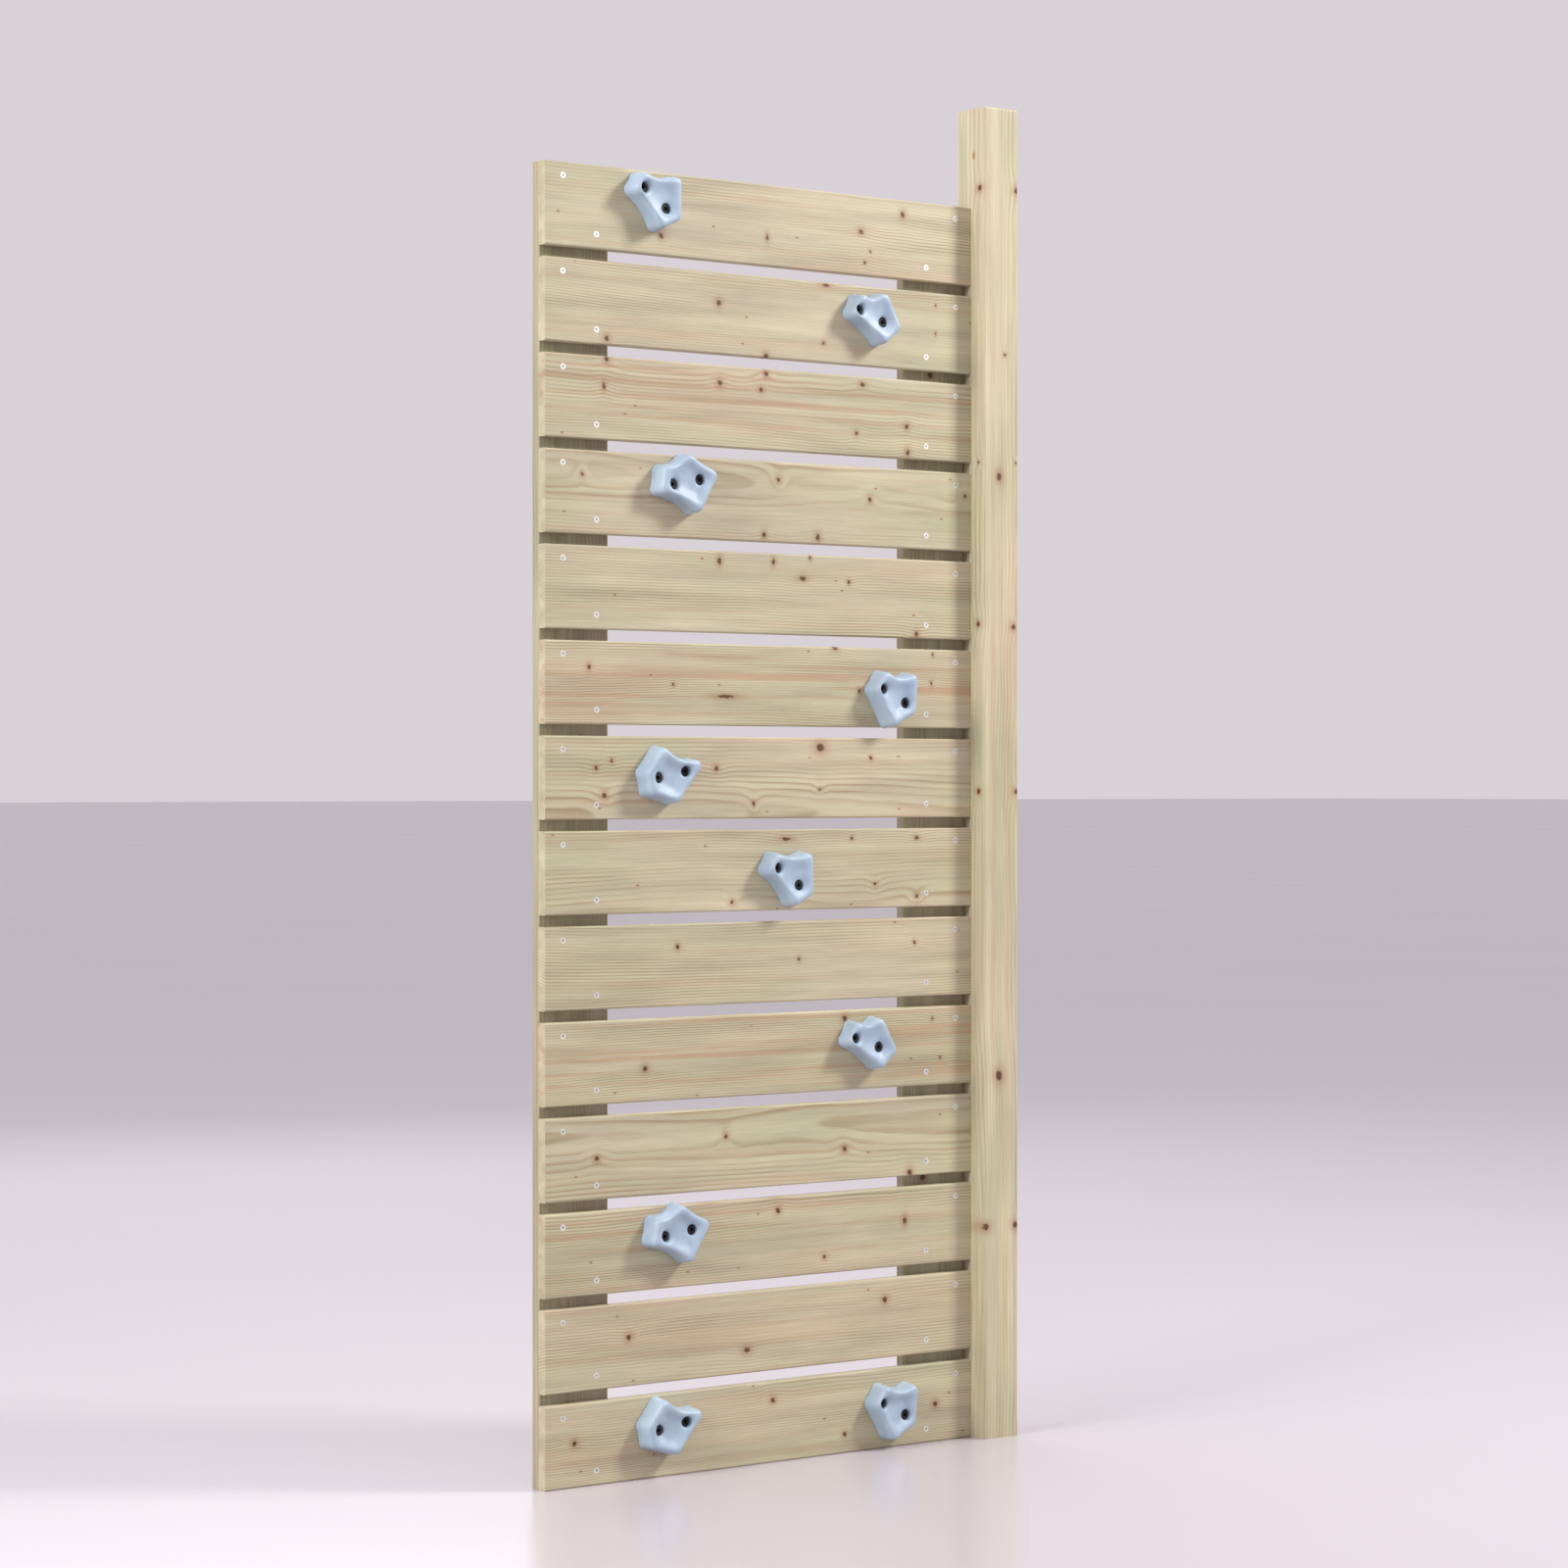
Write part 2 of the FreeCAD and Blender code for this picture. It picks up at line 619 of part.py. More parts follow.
def plate_pattern():
    """A joining plate in the plane of height zero, with its lower left corner on the origin."""
    body = new_body("plate")
    outline = new_sketch(body, "Outline", "XY_Plane")
    add_rectangle(outline, PLATE_LENGTH, "plate_height")
    add_feature(body, "Pad", "Sheet", outline, Length="plate_thickness")
    holes = new_sketch(body, "HolePlaces", "XY_Plane", offset="plate_thickness")
    for across in plate_screw_places():
        for side in "-+":
            x = f"({PLATE_LENGTH} / 2 {side} {across})"
            add_circle(holes, x, "(plate_height / 2)", "plate_screw_shank")
    countersink(body, "Holes", holes, "plate_screw_shank", "plate_screw_head")
    return body


def towards_climber(x, z, out="0"):
    """Turn a pattern's z axis to the climber, at a place on the boards' face and this far out from it."""
    return Placement(Vector(value(x), -value(out), value(z)), Rotation(0, 0, 90))


def towards_back(x, z, depth):
    """Turn a pattern's z axis to the back, at a place this deep behind the boards' face."""
    return Placement(Vector(value(x), value(depth), value(z)), Rotation(0, 0, -90))


def make_group(label, pattern, placements):
    """Copies of a pattern as separate solids of one sub-part, placed from the panel's lower left corner."""
    doc.recompute()
    solid = pattern.Shape.Solids[0]
    group = doc.addObject("Part::Feature", label)
    group.Label = label
    group.Shape = Part.makeCompound([solid.transformed(spot.toMatrix(), True) for spot in placements])
    place(group, LEFT_END, BOARD_FACE)
    return finish(group)


def make_fasteners():
    """All screws, bolts, washers, T-nuts and joining plates."""
    board_screws = [
        towards_climber(x, f"({z} + {board_bottom(number)})")
        for number in range(1, board_total + 1)
        for x, z in screw_places()
    ]
    bolts = [spot for number in range(1, len(HOLDS) + 1) for spot in bolt_places(number)]
    on_washer = "(seat_height + washer_thickness)"
    back = f"({WALL_DEPTH} + plate_thickness)"
    plates = [
        towards_back(f"(wall_width - {PLATE_LENGTH} / 2)", f"({height} + plate_height / 2)", WALL_DEPTH)
        for height in plate_heights()
    ]
    plate_screws = [
        towards_back(f"(wall_width {side} {across})", height, back)
        for height in plate_heights()
        for across in plate_screw_places()
        for side in "-+"
    ]
    board_screw = screw_pattern("board_screw", "screw_shank", "screw_head", SCREW_LENGTH)
    plate_screw = screw_pattern("plate_screw", "plate_screw_shank", "plate_screw_head", "plate_screw_length")
    make_group("board_screws", board_screw, board_screws)
    make_group("hold_bolts", bolt_pattern(), [towards_climber(x, z, on_washer) for x, z in bolts])
    make_group("hold_washers", washer_pattern(), [towards_climber(x, z, "seat_height") for x, z in bolts])
    make_group("t_nuts", nut_pattern(), [towards_climber(x, z, "-board_thickness") for x, z in bolts])
    make_group("joining_plates", plate_pattern(), plates)
    make_group("plate_screws", plate_screw, plate_screws)


# --------------------------------------------------------------------------------------------------
# The whole object
# --------------------------------------------------------------------------------------------------

fill_sheet()
board_total = int(value("board_count"))

for board in range(1, board_total + 1):
    make_board(board)

# The first board up, with its screws measured from the left end of each back board.
lowest = screw_places()
right_start = "(wall_width - back_board_width)"
make_back_board("left_back_board", LEFT_END, lowest[:2], plated=False)
make_back_board("right_back_board", f"({LEFT_END} + {right_start})",
                [(f"({x} - {right_start})", z) for x, z in lowest[2:]], plated=True)
make_post()

for hold in range(1, len(HOLDS) + 1):
    make_hold(hold)

make_fasteners()
doc.recompute()

for item in doc.Objects:
    if "Invalid" in item.State or "Error" in item.State:
        raise RuntimeError(f"{item.Label} did not build: {item.State}")

os.makedirs("parts", exist_ok=True)
for item in parts:
    shape = item.Shape
    if shape.isNull() or not shape.isValid():
        raise RuntimeError(f"{item.Label} has no valid shape")
    shape.exportStep(f"parts/{item.Label}.step")
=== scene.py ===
"""Looks of a slatted climbing wall: pine boards and post, moulded hand holds, and steel fixings.

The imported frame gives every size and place. The timbers, bolts, washers, T-nuts and plates keep their solids and
get procedural finishes. The hand holds and the screws are built here and stand for their solids.
"""

from __future__ import annotations

import logging
import math
from collections.abc import Mapping, Sequence
from dataclasses import dataclass, field
from enum import Enum
from typing import Any

import bpy
import numpy as np
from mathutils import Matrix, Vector
from mathutils.kdtree import KDTree

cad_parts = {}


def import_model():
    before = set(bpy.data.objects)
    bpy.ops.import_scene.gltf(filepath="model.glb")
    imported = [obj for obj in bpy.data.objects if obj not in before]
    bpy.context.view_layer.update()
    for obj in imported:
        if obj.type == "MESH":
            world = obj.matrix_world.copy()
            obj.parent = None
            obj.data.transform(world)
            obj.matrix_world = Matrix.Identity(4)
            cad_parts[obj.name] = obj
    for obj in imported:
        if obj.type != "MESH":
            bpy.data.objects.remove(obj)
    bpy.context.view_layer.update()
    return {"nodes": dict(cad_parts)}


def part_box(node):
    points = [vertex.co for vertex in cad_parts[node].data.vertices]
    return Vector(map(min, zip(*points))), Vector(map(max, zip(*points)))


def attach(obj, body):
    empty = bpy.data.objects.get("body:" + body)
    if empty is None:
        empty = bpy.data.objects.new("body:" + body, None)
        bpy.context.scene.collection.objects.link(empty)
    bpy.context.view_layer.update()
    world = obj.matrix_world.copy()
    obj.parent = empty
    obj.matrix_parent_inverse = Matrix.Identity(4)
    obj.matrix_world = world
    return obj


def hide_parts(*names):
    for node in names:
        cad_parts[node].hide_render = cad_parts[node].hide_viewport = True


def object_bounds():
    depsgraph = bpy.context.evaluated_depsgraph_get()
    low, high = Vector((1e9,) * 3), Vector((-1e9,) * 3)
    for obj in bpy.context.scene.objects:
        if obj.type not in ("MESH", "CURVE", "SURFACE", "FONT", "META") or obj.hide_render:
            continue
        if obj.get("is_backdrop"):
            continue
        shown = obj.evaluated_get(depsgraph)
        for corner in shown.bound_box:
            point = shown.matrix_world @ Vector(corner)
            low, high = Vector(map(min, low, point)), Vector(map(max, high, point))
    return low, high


LOG = logging.getLogger("climbing_wall")
ROOT = "root"

Triple = tuple[float, float, float]
Colour = Triple


class Grain(Enum):
    """Which way a timber's fibres run."""

    ALONG_X = "x"
    ALONG_Z = "z"


class Facing(Enum):
    """Which way a screw's head looks. The value turns a head that looks up, about the X axis."""

    CLIMBER = math.pi / 2
    BACK = -math.pi / 2


# --------------------------------------------------------------------------------------------------
# Shader building
# --------------------------------------------------------------------------------------------------


class Field:
    """A number that varies over a surface. Arithmetic on it adds Math nodes."""

    def __init__(self, bench: Bench, socket: bpy.types.NodeSocket) -> None:
        """Wrap an output socket.

        Args:
            bench: The bench whose tree holds the socket.
            socket: The output that gives the number.
        """
        self.bench = bench
        self.socket = socket

    def maths(self, operation: str, *terms: Any) -> Field:
        """Add one Math node.

        Args:
            operation: The node's operation.
            *terms: Its inputs in order, as numbers or fields.

        Returns:
            The node's result.
        """
        node = self.bench.node("ShaderNodeMath", {"operation": operation}, dict(enumerate(terms)))
        return Field(self.bench, node.outputs[0])

    def __add__(self, other: Any) -> Field:
        """Sum."""
        return self.maths("ADD", self, other)

    __radd__ = __add__

    def __sub__(self, other: Any) -> Field:
        """Difference."""
        return self.maths("SUBTRACT", self, other)

    def __mul__(self, other: Any) -> Field:
        """Product."""
        return self.maths("MULTIPLY", self, other)

    def __truediv__(self, other: Any) -> Field:
        """Quotient."""
        return self.maths("DIVIDE", self, other)

    def __neg__(self) -> Field:
        """Opposite."""
        return self.maths("MULTIPLY", self, -1.0)

    def root(self) -> Field:
        """Square root."""
        return self.maths("SQRT", self)

    def fraction(self) -> Field:
        """Part after the decimal point."""
        return self.maths("FRACT", self)

    def least(self, other: Any) -> Field:
        """The smaller of two."""
        return self.maths("MINIMUM", self, other)

    def fall(self) -> Field:
        """One at zero, fading away as the number grows."""
        return self.maths("EXPONENT", -self)

    def step(self, low: float, high: float) -> Field:
        """Smooth step from 0 to 1.

        Args:
            low: Where it leaves 0.
            high: Where it reaches 1. Below low, the step falls instead.

        Returns:
            The smoothed share.
        """
        start, end, first, last = (low, high, 0.0, 1.0) if low < high else (high, low, 1.0, 0.0)
        settings = {"interpolation_type": "SMOOTHSTEP"}
        inputs = {"Value": self, "From Min": start, "From Max": end, "To Min": first, "To Max": last}
        return Field(self.bench, self.bench.node("ShaderNodeMapRange", settings, inputs).outputs[0])


class Bench:
    """Builds one material's node tree."""

    def __init__(self, name: str) -> None:
        """Start an empty material.

        Args:
            name: The material's name.
        """
        self.material = bpy.data.materials.new(name)
        self.material.use_nodes = True
        self.tree = self.material.node_tree
        self.tree.nodes.clear()

    def node(
        self,
        kind: str,
        settings: Mapping[str, Any] | None = None,
        inputs: Mapping[Any, Any] | None = None,
    ) -> bpy.types.Node:
        """Add a node.

        Args:
            kind: The node's type.
            settings: Its own properties, set before its sockets.
            inputs: Values or links for its input sockets, by position, identifier or name.

        Returns:
            The node.
        """
        node = self.tree.nodes.new(kind)
        for name, value in (settings or {}).items():
            setattr(node, name, value)
        for key, value in (inputs or {}).items():
            self.feed(self.find(node, key), value)
        return node

    @staticmethod
    def find(node: bpy.types.Node, key: Any) -> bpy.types.NodeSocket:
        """Find one of a node's inputs by position, identifier or name."""
        if isinstance(key, int):
            return node.inputs[key]
        return next(s for s in node.inputs if s.identifier == key or (s.name == key and s.enabled))

    def feed(self, socket: bpy.types.NodeSocket, value: Any) -> None:
        """Link or set one input socket.

        Args:
            socket: The input.
            value: A field, an output socket, or a plain value.
        """
        if isinstance(value, Field):
            value = value.socket
        if isinstance(value, bpy.types.NodeSocket):
            self.tree.links.new(value, socket)
        elif socket.type == "RGBA" and len(value) == 3:
            socket.default_value = (*value, 1.0)
        else:
            socket.default_value = value

    def position(self) -> bpy.types.NodeSocket:
        """The place on the surface, in the row's frame."""
        return self.node("ShaderNodeTexCoord").outputs["Object"]

    def number(self, value: float) -> Field:
        """A plain number as a field."""
        node = self.node("ShaderNodeValue")
        node.outputs[0].default_value = value
        return Field(self, node.outputs[0])

    def vector(self, operation: str, *terms: Any) -> bpy.types.NodeSocket:
        """Add one Vector Math node and return its result."""
        node = self.node("ShaderNodeVectorMath", {"operation": operation}, dict(enumerate(terms)))
        return node.outputs["Value" if operation == "DOT_PRODUCT" else "Vector"]

    def split(self, vector: bpy.types.NodeSocket) -> list[Field]:
        """The three parts of a vector."""
        return [Field(self, out) for out in self.node("ShaderNodeSeparateXYZ", None, {0: vector}).outputs]

    def join(self, x: Any, y: Any, z: Any) -> bpy.types.NodeSocket:
        """A vector from its three parts."""
        return self.node("ShaderNodeCombineXYZ", None, {0: x, 1: y, 2: z}).outputs[0]

    def noise(self, vector: Any, stretch: Sequence[float], detail: float = 2.0) -> Field:
        """Noise with its own scale along each axis.

        Args:
            vector: Where to look it up.
            stretch: Cells per metre along each axis.
            detail: Octaves of finer noise.

        Returns:
            A number around one half.
        """
        place = self.vector("MULTIPLY", vector, tuple(stretch))
        node = self.node("ShaderNodeTexNoise", None, {"Vector": place, "Scale": 1.0, "Detail": detail})
        return Field(self, node.outputs[0])

    def mix(self, share: Any, first: Any, second: Any) -> bpy.types.NodeSocket:
        """Mix two colours.

        Args:
            share: How much of the second.
            first: A colour or socket.
            second: A colour or socket.

        Returns:
            The mixed colour.
        """
        inputs = {"Factor_Float": share, "A_Color": first, "B_Color": second}
        node = self.node("ShaderNodeMix", {"data_type": "RGBA"}, inputs)
        return next(out for out in node.outputs if out.identifier == "Result_Color")

    def tone(self, colour: Any, strength: Field) -> bpy.types.NodeSocket:
        """Darken or brighten a colour by a number around one."""
        unused = (0.0, 0.0, 0.0)
        return self.vector("SCALE", colour, unused, unused, strength)

    def finish(
        self, base: Any, roughness: Any, height: Field, relief: float, **constants: Any
    ) -> bpy.types.Material:
        """Close the tree with a Principled shader.

        Args:
            base: Base colour.
            roughness: Roughness.
            height: Surface relief from 0 to 1.
            relief: Depth of that relief, in metres.
            **constants: Other inputs of the shader, with underscores for spaces.

        Returns:
            The material.
        """
        bump = self.node("ShaderNodeBump", None, {"Height": height, "Distance": relief, "Strength": 1.0})
        inputs = {"Base Color": base, "Roughness": roughness, "Normal": bump.outputs[0]}
        inputs |= {name.replace("_", " "): value for name, value in constants.items()}
        shader = self.node("ShaderNodeBsdfPrincipled", None, inputs)
        self.node("ShaderNodeOutputMaterial", None, {"Surface": shader.outputs[0]})
        return self.material


# --------------------------------------------------------------------------------------------------
# Finishes
# --------------------------------------------------------------------------------------------------


@dataclass(frozen=True)
class Knot:
    """A knot in a timber, in metres from the end, the lower or left edge, and the front of its box.

    A knot with no reach runs right through the timber. One with a reach fades out that far from its depth.
    """

    along: float
    across: float
    radius: float = 0.004
    length: float = 1.0
    depth: float = 0.0
    reach: float = 0.0


@dataclass(frozen=True)
class Pine:
    """Planed pine with growth rings, fibres and knots.

    A stretch is the noise cells per metre along the grain, across the face and into the depth.
    """

    name: str
    grain: Grain
    corner: Triple
    seed: float
    knots: tuple[Knot, ...] = ()
    heart: float = 0.06
    heart_depth: float = 0.05
    ring_width: float = 0.0045
    warmth: float = 0.3
    contrast: float = 0.55
    tone: float = 1.0
    thick: bool = False
    pale: Colour = (0.480, 0.430, 0.305)
    green: Colour = (0.435, 0.415, 0.275)
    ring: Colour = (0.285, 0.205, 0.11)
    blush: Colour = (0.40, 0.27, 0.165)
    stain: Colour = (0.27, 0.10, 0.034)
    core: Colour = (0.075, 0.028, 0.010)
    drift_stretch: Triple = (1.3, 5.0, 5.0)
    drift_size: float = 0.035
    ripple_stretch: Triple = (9.0, 30.0, 30.0)
    ripple_size: float = 0.0016
    strength_stretch: Triple = (2.2, 26.0, 26.0)
    fibre_stretch: Triple = (16.0, 1300.0, 1300.0)
    streak_stretch: Triple = (1.2, 80.0, 80.0)
    cloud_stretch: Triple = (2.4, 9.0, 9.0)
    shade_stretch: Triple = (3.5, 40.0, 40.0)
    wobble_stretch: Triple = (170.0, 210.0, 60.0)
    wobble_along: float = 0.006
    wobble_across: float = -0.005
    clear_of_knots: float = 400.0
    knot_pull: float = 0.04
    knot_bulge: float = 0.0035
    halo_fade: float = 0.3
    halo_share: float = 0.6
    core_share: float = 0.9
    pin_stretch: Triple = (7.0, 13.0, 13.0)
    pin_edge: float = 0.028
    pin_middle: float = 0.012
    pin_growth: float = 2.2
    pin_share: float = 0.8
    relief: float = 0.0004

    def place(self, bench: Bench) -> bpy.types.NodeSocket:
        """The place in the timber: along the grain, across the face, and into the depth."""
        x, y, z = bench.split(bench.vector("SUBTRACT", bench.position(), self.corner))
        along, across = (x, z) if self.grain is Grain.ALONG_X else (z, x)
        return bench.join(along, across, y)

    def knot_distance(self, bench: Bench, place: bpy.types.NodeSocket) -> Field:
        """Squared distance to the nearest knot, in knot radii.

        Args:
            bench: The bench in use.
            place: The place in the timber.

        Returns:
            The squared distance, large where the timber has no knots.
        """
        wobble = bench.noise(place, self.wobble_stretch) - 0.5
        shake = bench.join(wobble * self.wobble_along, wobble * self.wobble_across, 0.0)
        shaken = bench.vector("ADD", place, shake)
        nearest = bench.number(self.clear_of_knots)
        for knot in self.knots:
            offset = bench.vector("SUBTRACT", shaken, (knot.along, knot.across, knot.depth))
            through = 1.0 / knot.reach if knot.reach else 0.0
            size = (1.0 / (knot.radius * knot.length), 1.0 / knot.radius, through)
            scaled = bench.vector("MULTIPLY", offset, size)
            squared = Field(bench, bench.vector("DOT_PRODUCT", scaled, scaled))
            nearest = squared.least(nearest)
        return nearest

    def pin_knots(self, bench: Bench, place: bpy.types.NodeSocket) -> Field:
        """Scattered pin knots, each a few millimetres across.

        Args:
            bench: The bench in use.
            place: The place in the timber.

        Returns:
            One in a pin knot, zero outside.
        """
        moved = bench.vector("ADD", place, (self.seed, self.seed, self.seed))
        spread = bench.vector("MULTIPLY", moved, self.pin_stretch)
        settings = {"voronoi_dimensions": "3D" if self.thick else "2D"}
        cells = bench.node("ShaderNodeTexVoronoi", settings, {"Vector": spread, "Scale": 1.0})
        draw = bench.split(cells.outputs["Color"])[0]
        size = self.pin_growth if self.thick else 1.0
        dot = Field(bench, cells.outputs["Distance"]).step(self.pin_edge * size, self.pin_middle * size)
        return dot * draw.step(0.5, 0.6)

    def make(self) -> bpy.types.Material:
        """Build the material."""
        bench = Bench(self.name)
        place = self.place(bench)
        shifted = bench.vector("ADD", place, (self.seed * 1.7, self.seed * 0.31, self.seed * 0.13))
        _, across, depth = bench.split(place)
        near = self.knot_distance(bench, place)
        pins = self.pin_knots(bench, place)

        drift = bench.noise(shifted, self.drift_stretch) - 0.5
        ripple = bench.noise(shifted, self.ripple_stretch) - 0.5
        side = across - self.heart
        deep = depth + self.heart_depth
        radius = (side * side + deep * deep).root() + drift * self.drift_size + ripple * self.ripple_size
        radius = radius + (near * self.knot_pull).fall() * self.knot_bulge
        turn = (radius / self.ring_width).fraction()
        late = turn.step(0.35, 0.86) * turn.step(1.0, 0.88)
        strength = bench.noise(shifted, self.strength_stretch).step(0.25, 0.75)

        fibre = bench.noise(shifted, self.fibre_stretch, 3.0)
        streak = bench.noise(shifted, self.streak_stretch, 4.0)
        cloud = bench.noise(shifted, self.cloud_stretch)
        shade = bench.noise(shifted, self.shade_stretch, 3.0)

        colour = bench.mix(cloud.step(0.62, 0.35), self.pale, self.green)
        colour = bench.mix(late * strength * self.contrast, colour, self.ring)
        colour = bench.mix(streak.step(0.48, 0.70) * self.warmth, colour, self.blush)
        colour = bench.mix(cloud.step(0.48, 0.75) * self.warmth * 0.6, colour, self.blush)
        halo = (near * self.halo_fade).fall()
        core = near.step(1.05, 0.3)
        colour = bench.mix(halo * self.halo_share, colour, self.stain)
        colour = bench.mix(core * self.core_share, colour, self.core)
        colour = bench.mix(pins * self.pin_share, colour, self.stain)
        colour = bench.tone(colour, (0.42 + fibre * 0.5 + shade * 0.7) * self.tone)

        roughness = 0.5 + fibre * 0.16 - late * 0.05 - core * 0.08
        height = fibre * 0.5 + late * strength * 0.35 + core * 0.3
        return bench.finish(colour, roughness, height, self.relief, Specular_IOR_Level=0.35)


@dataclass(frozen=True)
class HoldPlastic:
    """Satin moulded plastic, faintly mottled, with a fine cast texture."""

    name: str
    light: Colour = (0.375, 0.475, 0.575)
    dark: Colour = (0.315, 0.41, 0.52)
    scuff: Colour = (0.46, 0.54, 0.62)
    cloud_stretch: Triple = (34.0, 34.0, 34.0)
    grit_stretch: Triple = (1500.0, 1500.0, 1500.0)
    scratch_stretch: Triple = (120.0, 400.0, 60.0)
    wear: float = 0.35
    gloss: float = 0.36
    relief: float = 0.00025

    def make(self) -> bpy.types.Material:
        """Build the material."""
        bench = Bench(self.name)
        place = bench.position()
        cloud = bench.noise(place, self.cloud_stretch, 3.0)
        grit = bench.noise(place, self.grit_stretch)
        scratch = bench.noise(place, self.scratch_stretch, 4.0)
        worn = scratch.step(0.62, 0.75) * self.wear
        colour = bench.mix(cloud.step(0.3, 0.7), self.dark, self.light)
        colour = bench.mix(worn, colour, self.scuff)
        colour = bench.tone(colour, 0.96 + grit * 0.08)
        roughness = self.gloss + cloud * 0.1 + worn * 0.3
        return bench.finish(colour, roughness, grit, self.relief, Specular_IOR_Level=0.5)


@dataclass(frozen=True)
class Metal:
    """A plated or blackened steel, uneven in tone and gloss."""

    name: str
    light: Colour
    dark: Colour
    gloss: float
    cells: float = 240.0
    metallic: float = 1.0
    smear_stretch: Triple = (90.0, 90.0, 90.0)
    unevenness: float = 0.12
    relief: float = 0.0001

    def make(self) -> bpy.types.Material:
        """Build the material."""
        bench = Bench(self.name)
        place = bench.position()
        settings = {"voronoi_dimensions": "3D", "feature": "SMOOTH_F1"}
        flake = bench.node("ShaderNodeTexVoronoi", settings, {"Vector": place, "Scale": self.cells})
        tint = bench.split(flake.outputs["Color"])[0]
        smear = bench.noise(place, self.smear_stretch, 4.0)
        colour = bench.mix(tint * 0.5 + smear * 0.5, self.dark, self.light)
        roughness = self.gloss + tint * self.unevenness + smear * self.unevenness
        return bench.finish(colour, roughness, smear, self.relief, Metallic=self.metallic)


@dataclass(frozen=True)
class StudioPaint:
    """The studio's plain floor, slightly glossy."""

    name: str
    colour: Colour = (0.50, 0.465, 0.50)
    gloss: float = 0.20
    cloud_stretch: Triple = (0.6, 0.6, 0.6)
    relief: float = 0.0005

    def make(self) -> bpy.types.Material:
        """Build the material."""
        bench = Bench(self.name)
        cloud = bench.noise(bench.position(), self.cloud_stretch)
        colour = bench.tone(self.colour, 0.985 + cloud * 0.03)
        return bench.finish(colour, self.gloss + cloud * 0.05, cloud, self.relief, Specular_IOR_Level=0.5)


def numbered(nodes: Mapping[str, bpy.types.Object], prefix: str) -> list[str]:
    """Names of the nodes that are a prefix and a two-figure number, in order."""
    return sorted(name for name in nodes if name.startswith(prefix) and name[-2:].isdigit())


def dress(thing: bpy.types.Object, material: bpy.types.Material) -> None:
    """Give an object one material.

    Args:
        thing: The object.
        material: Its only material.
    """
    thing.data.materials.clear()
    thing.data.materials.append(material)


# --------------------------------------------------------------------------------------------------
# Timbers
# --------------------------------------------------------------------------------------------------


@dataclass
class ClimbingBoards:
    """The horizontal boards. Each is cut from another plank, so each has its own rings, tint and knots."""

    nodes: Mapping[str, bpy.types.Object]
    knots: Mapping[int, tuple[Knot, ...]] = field(default_factory=dict)
    warm_boards: tuple[int, ...] = (3, 6, 10, 12)

    def dress(self) -> None:
        """Give every board its own pine."""
        for number, name in enumerate(numbered(self.nodes, "board_"), 1):
            low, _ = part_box(name)
            warm = number in self.warm_boards
            finish = Pine(
                name=f"pine_{name}",
                grain=Grain.ALONG_X,
                corner=tuple(low),
                seed=1.37 * number,
                knots=self.knots.get(number, ()),
                heart=0.0625 + 0.15 * math.sin(2.3 * number),
                heart_depth=0.055 + 0.03 * math.cos(1.7 * number),
                ring_width=0.0042 + 0.0012 * math.sin(3.1 * number),
                warmth=0.85 if warm else 0.32,
                contrast=1.0 if warm else 0.85,
            )
            dress(self.nodes[name], finish.make())
            LOG.info("%s: pine, %d knots", name, len(finish.knots))


@dataclass
class Uprights:
    """The two back boards and the corner post, with the grain standing up."""

    nodes: Mapping[str, bpy.types.Object]
    knots: Mapping[str, tuple[Knot, ...]] = field(default_factory=dict)
    post_tone: float = 1.06
    # Painted shade: the back boards' pine is darkened below the other timbers so that the strips seen in the gaps
    # between the climbing boards look shadowed; this darkness stands in for shade, not for a darker wood.
    back_painted_shade_tone: float = 0.78

    def dress(self) -> None:
        """Give every upright its own pine."""
        for number, name in enumerate(("left_back_board", "right_back_board", "corner_post")):
            low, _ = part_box(name)
            is_post = name == "corner_post"
            finish = Pine(
                name=f"pine_{name}",
                grain=Grain.ALONG_Z,
                corner=tuple(low),
                seed=31.0 + 2.9 * number,
                knots=self.knots.get(name, ()),
                heart=0.04 + 0.02 * number,
                heart_depth=0.03,
                ring_width=0.0052,
                warmth=0.34,
                contrast=0.62,
                # The back boards get the darkened tone that paints shade into the gaps between the climbing
                # boards.
                tone=self.post_tone if is_post else self.back_painted_shade_tone,
                thick=is_post,
            )
            dress(self.nodes[name], finish.make())
            LOG.info("%s: upright pine", name)


# --------------------------------------------------------------------------------------------------
# Holds
# --------------------------------------------------------------------------------------------------


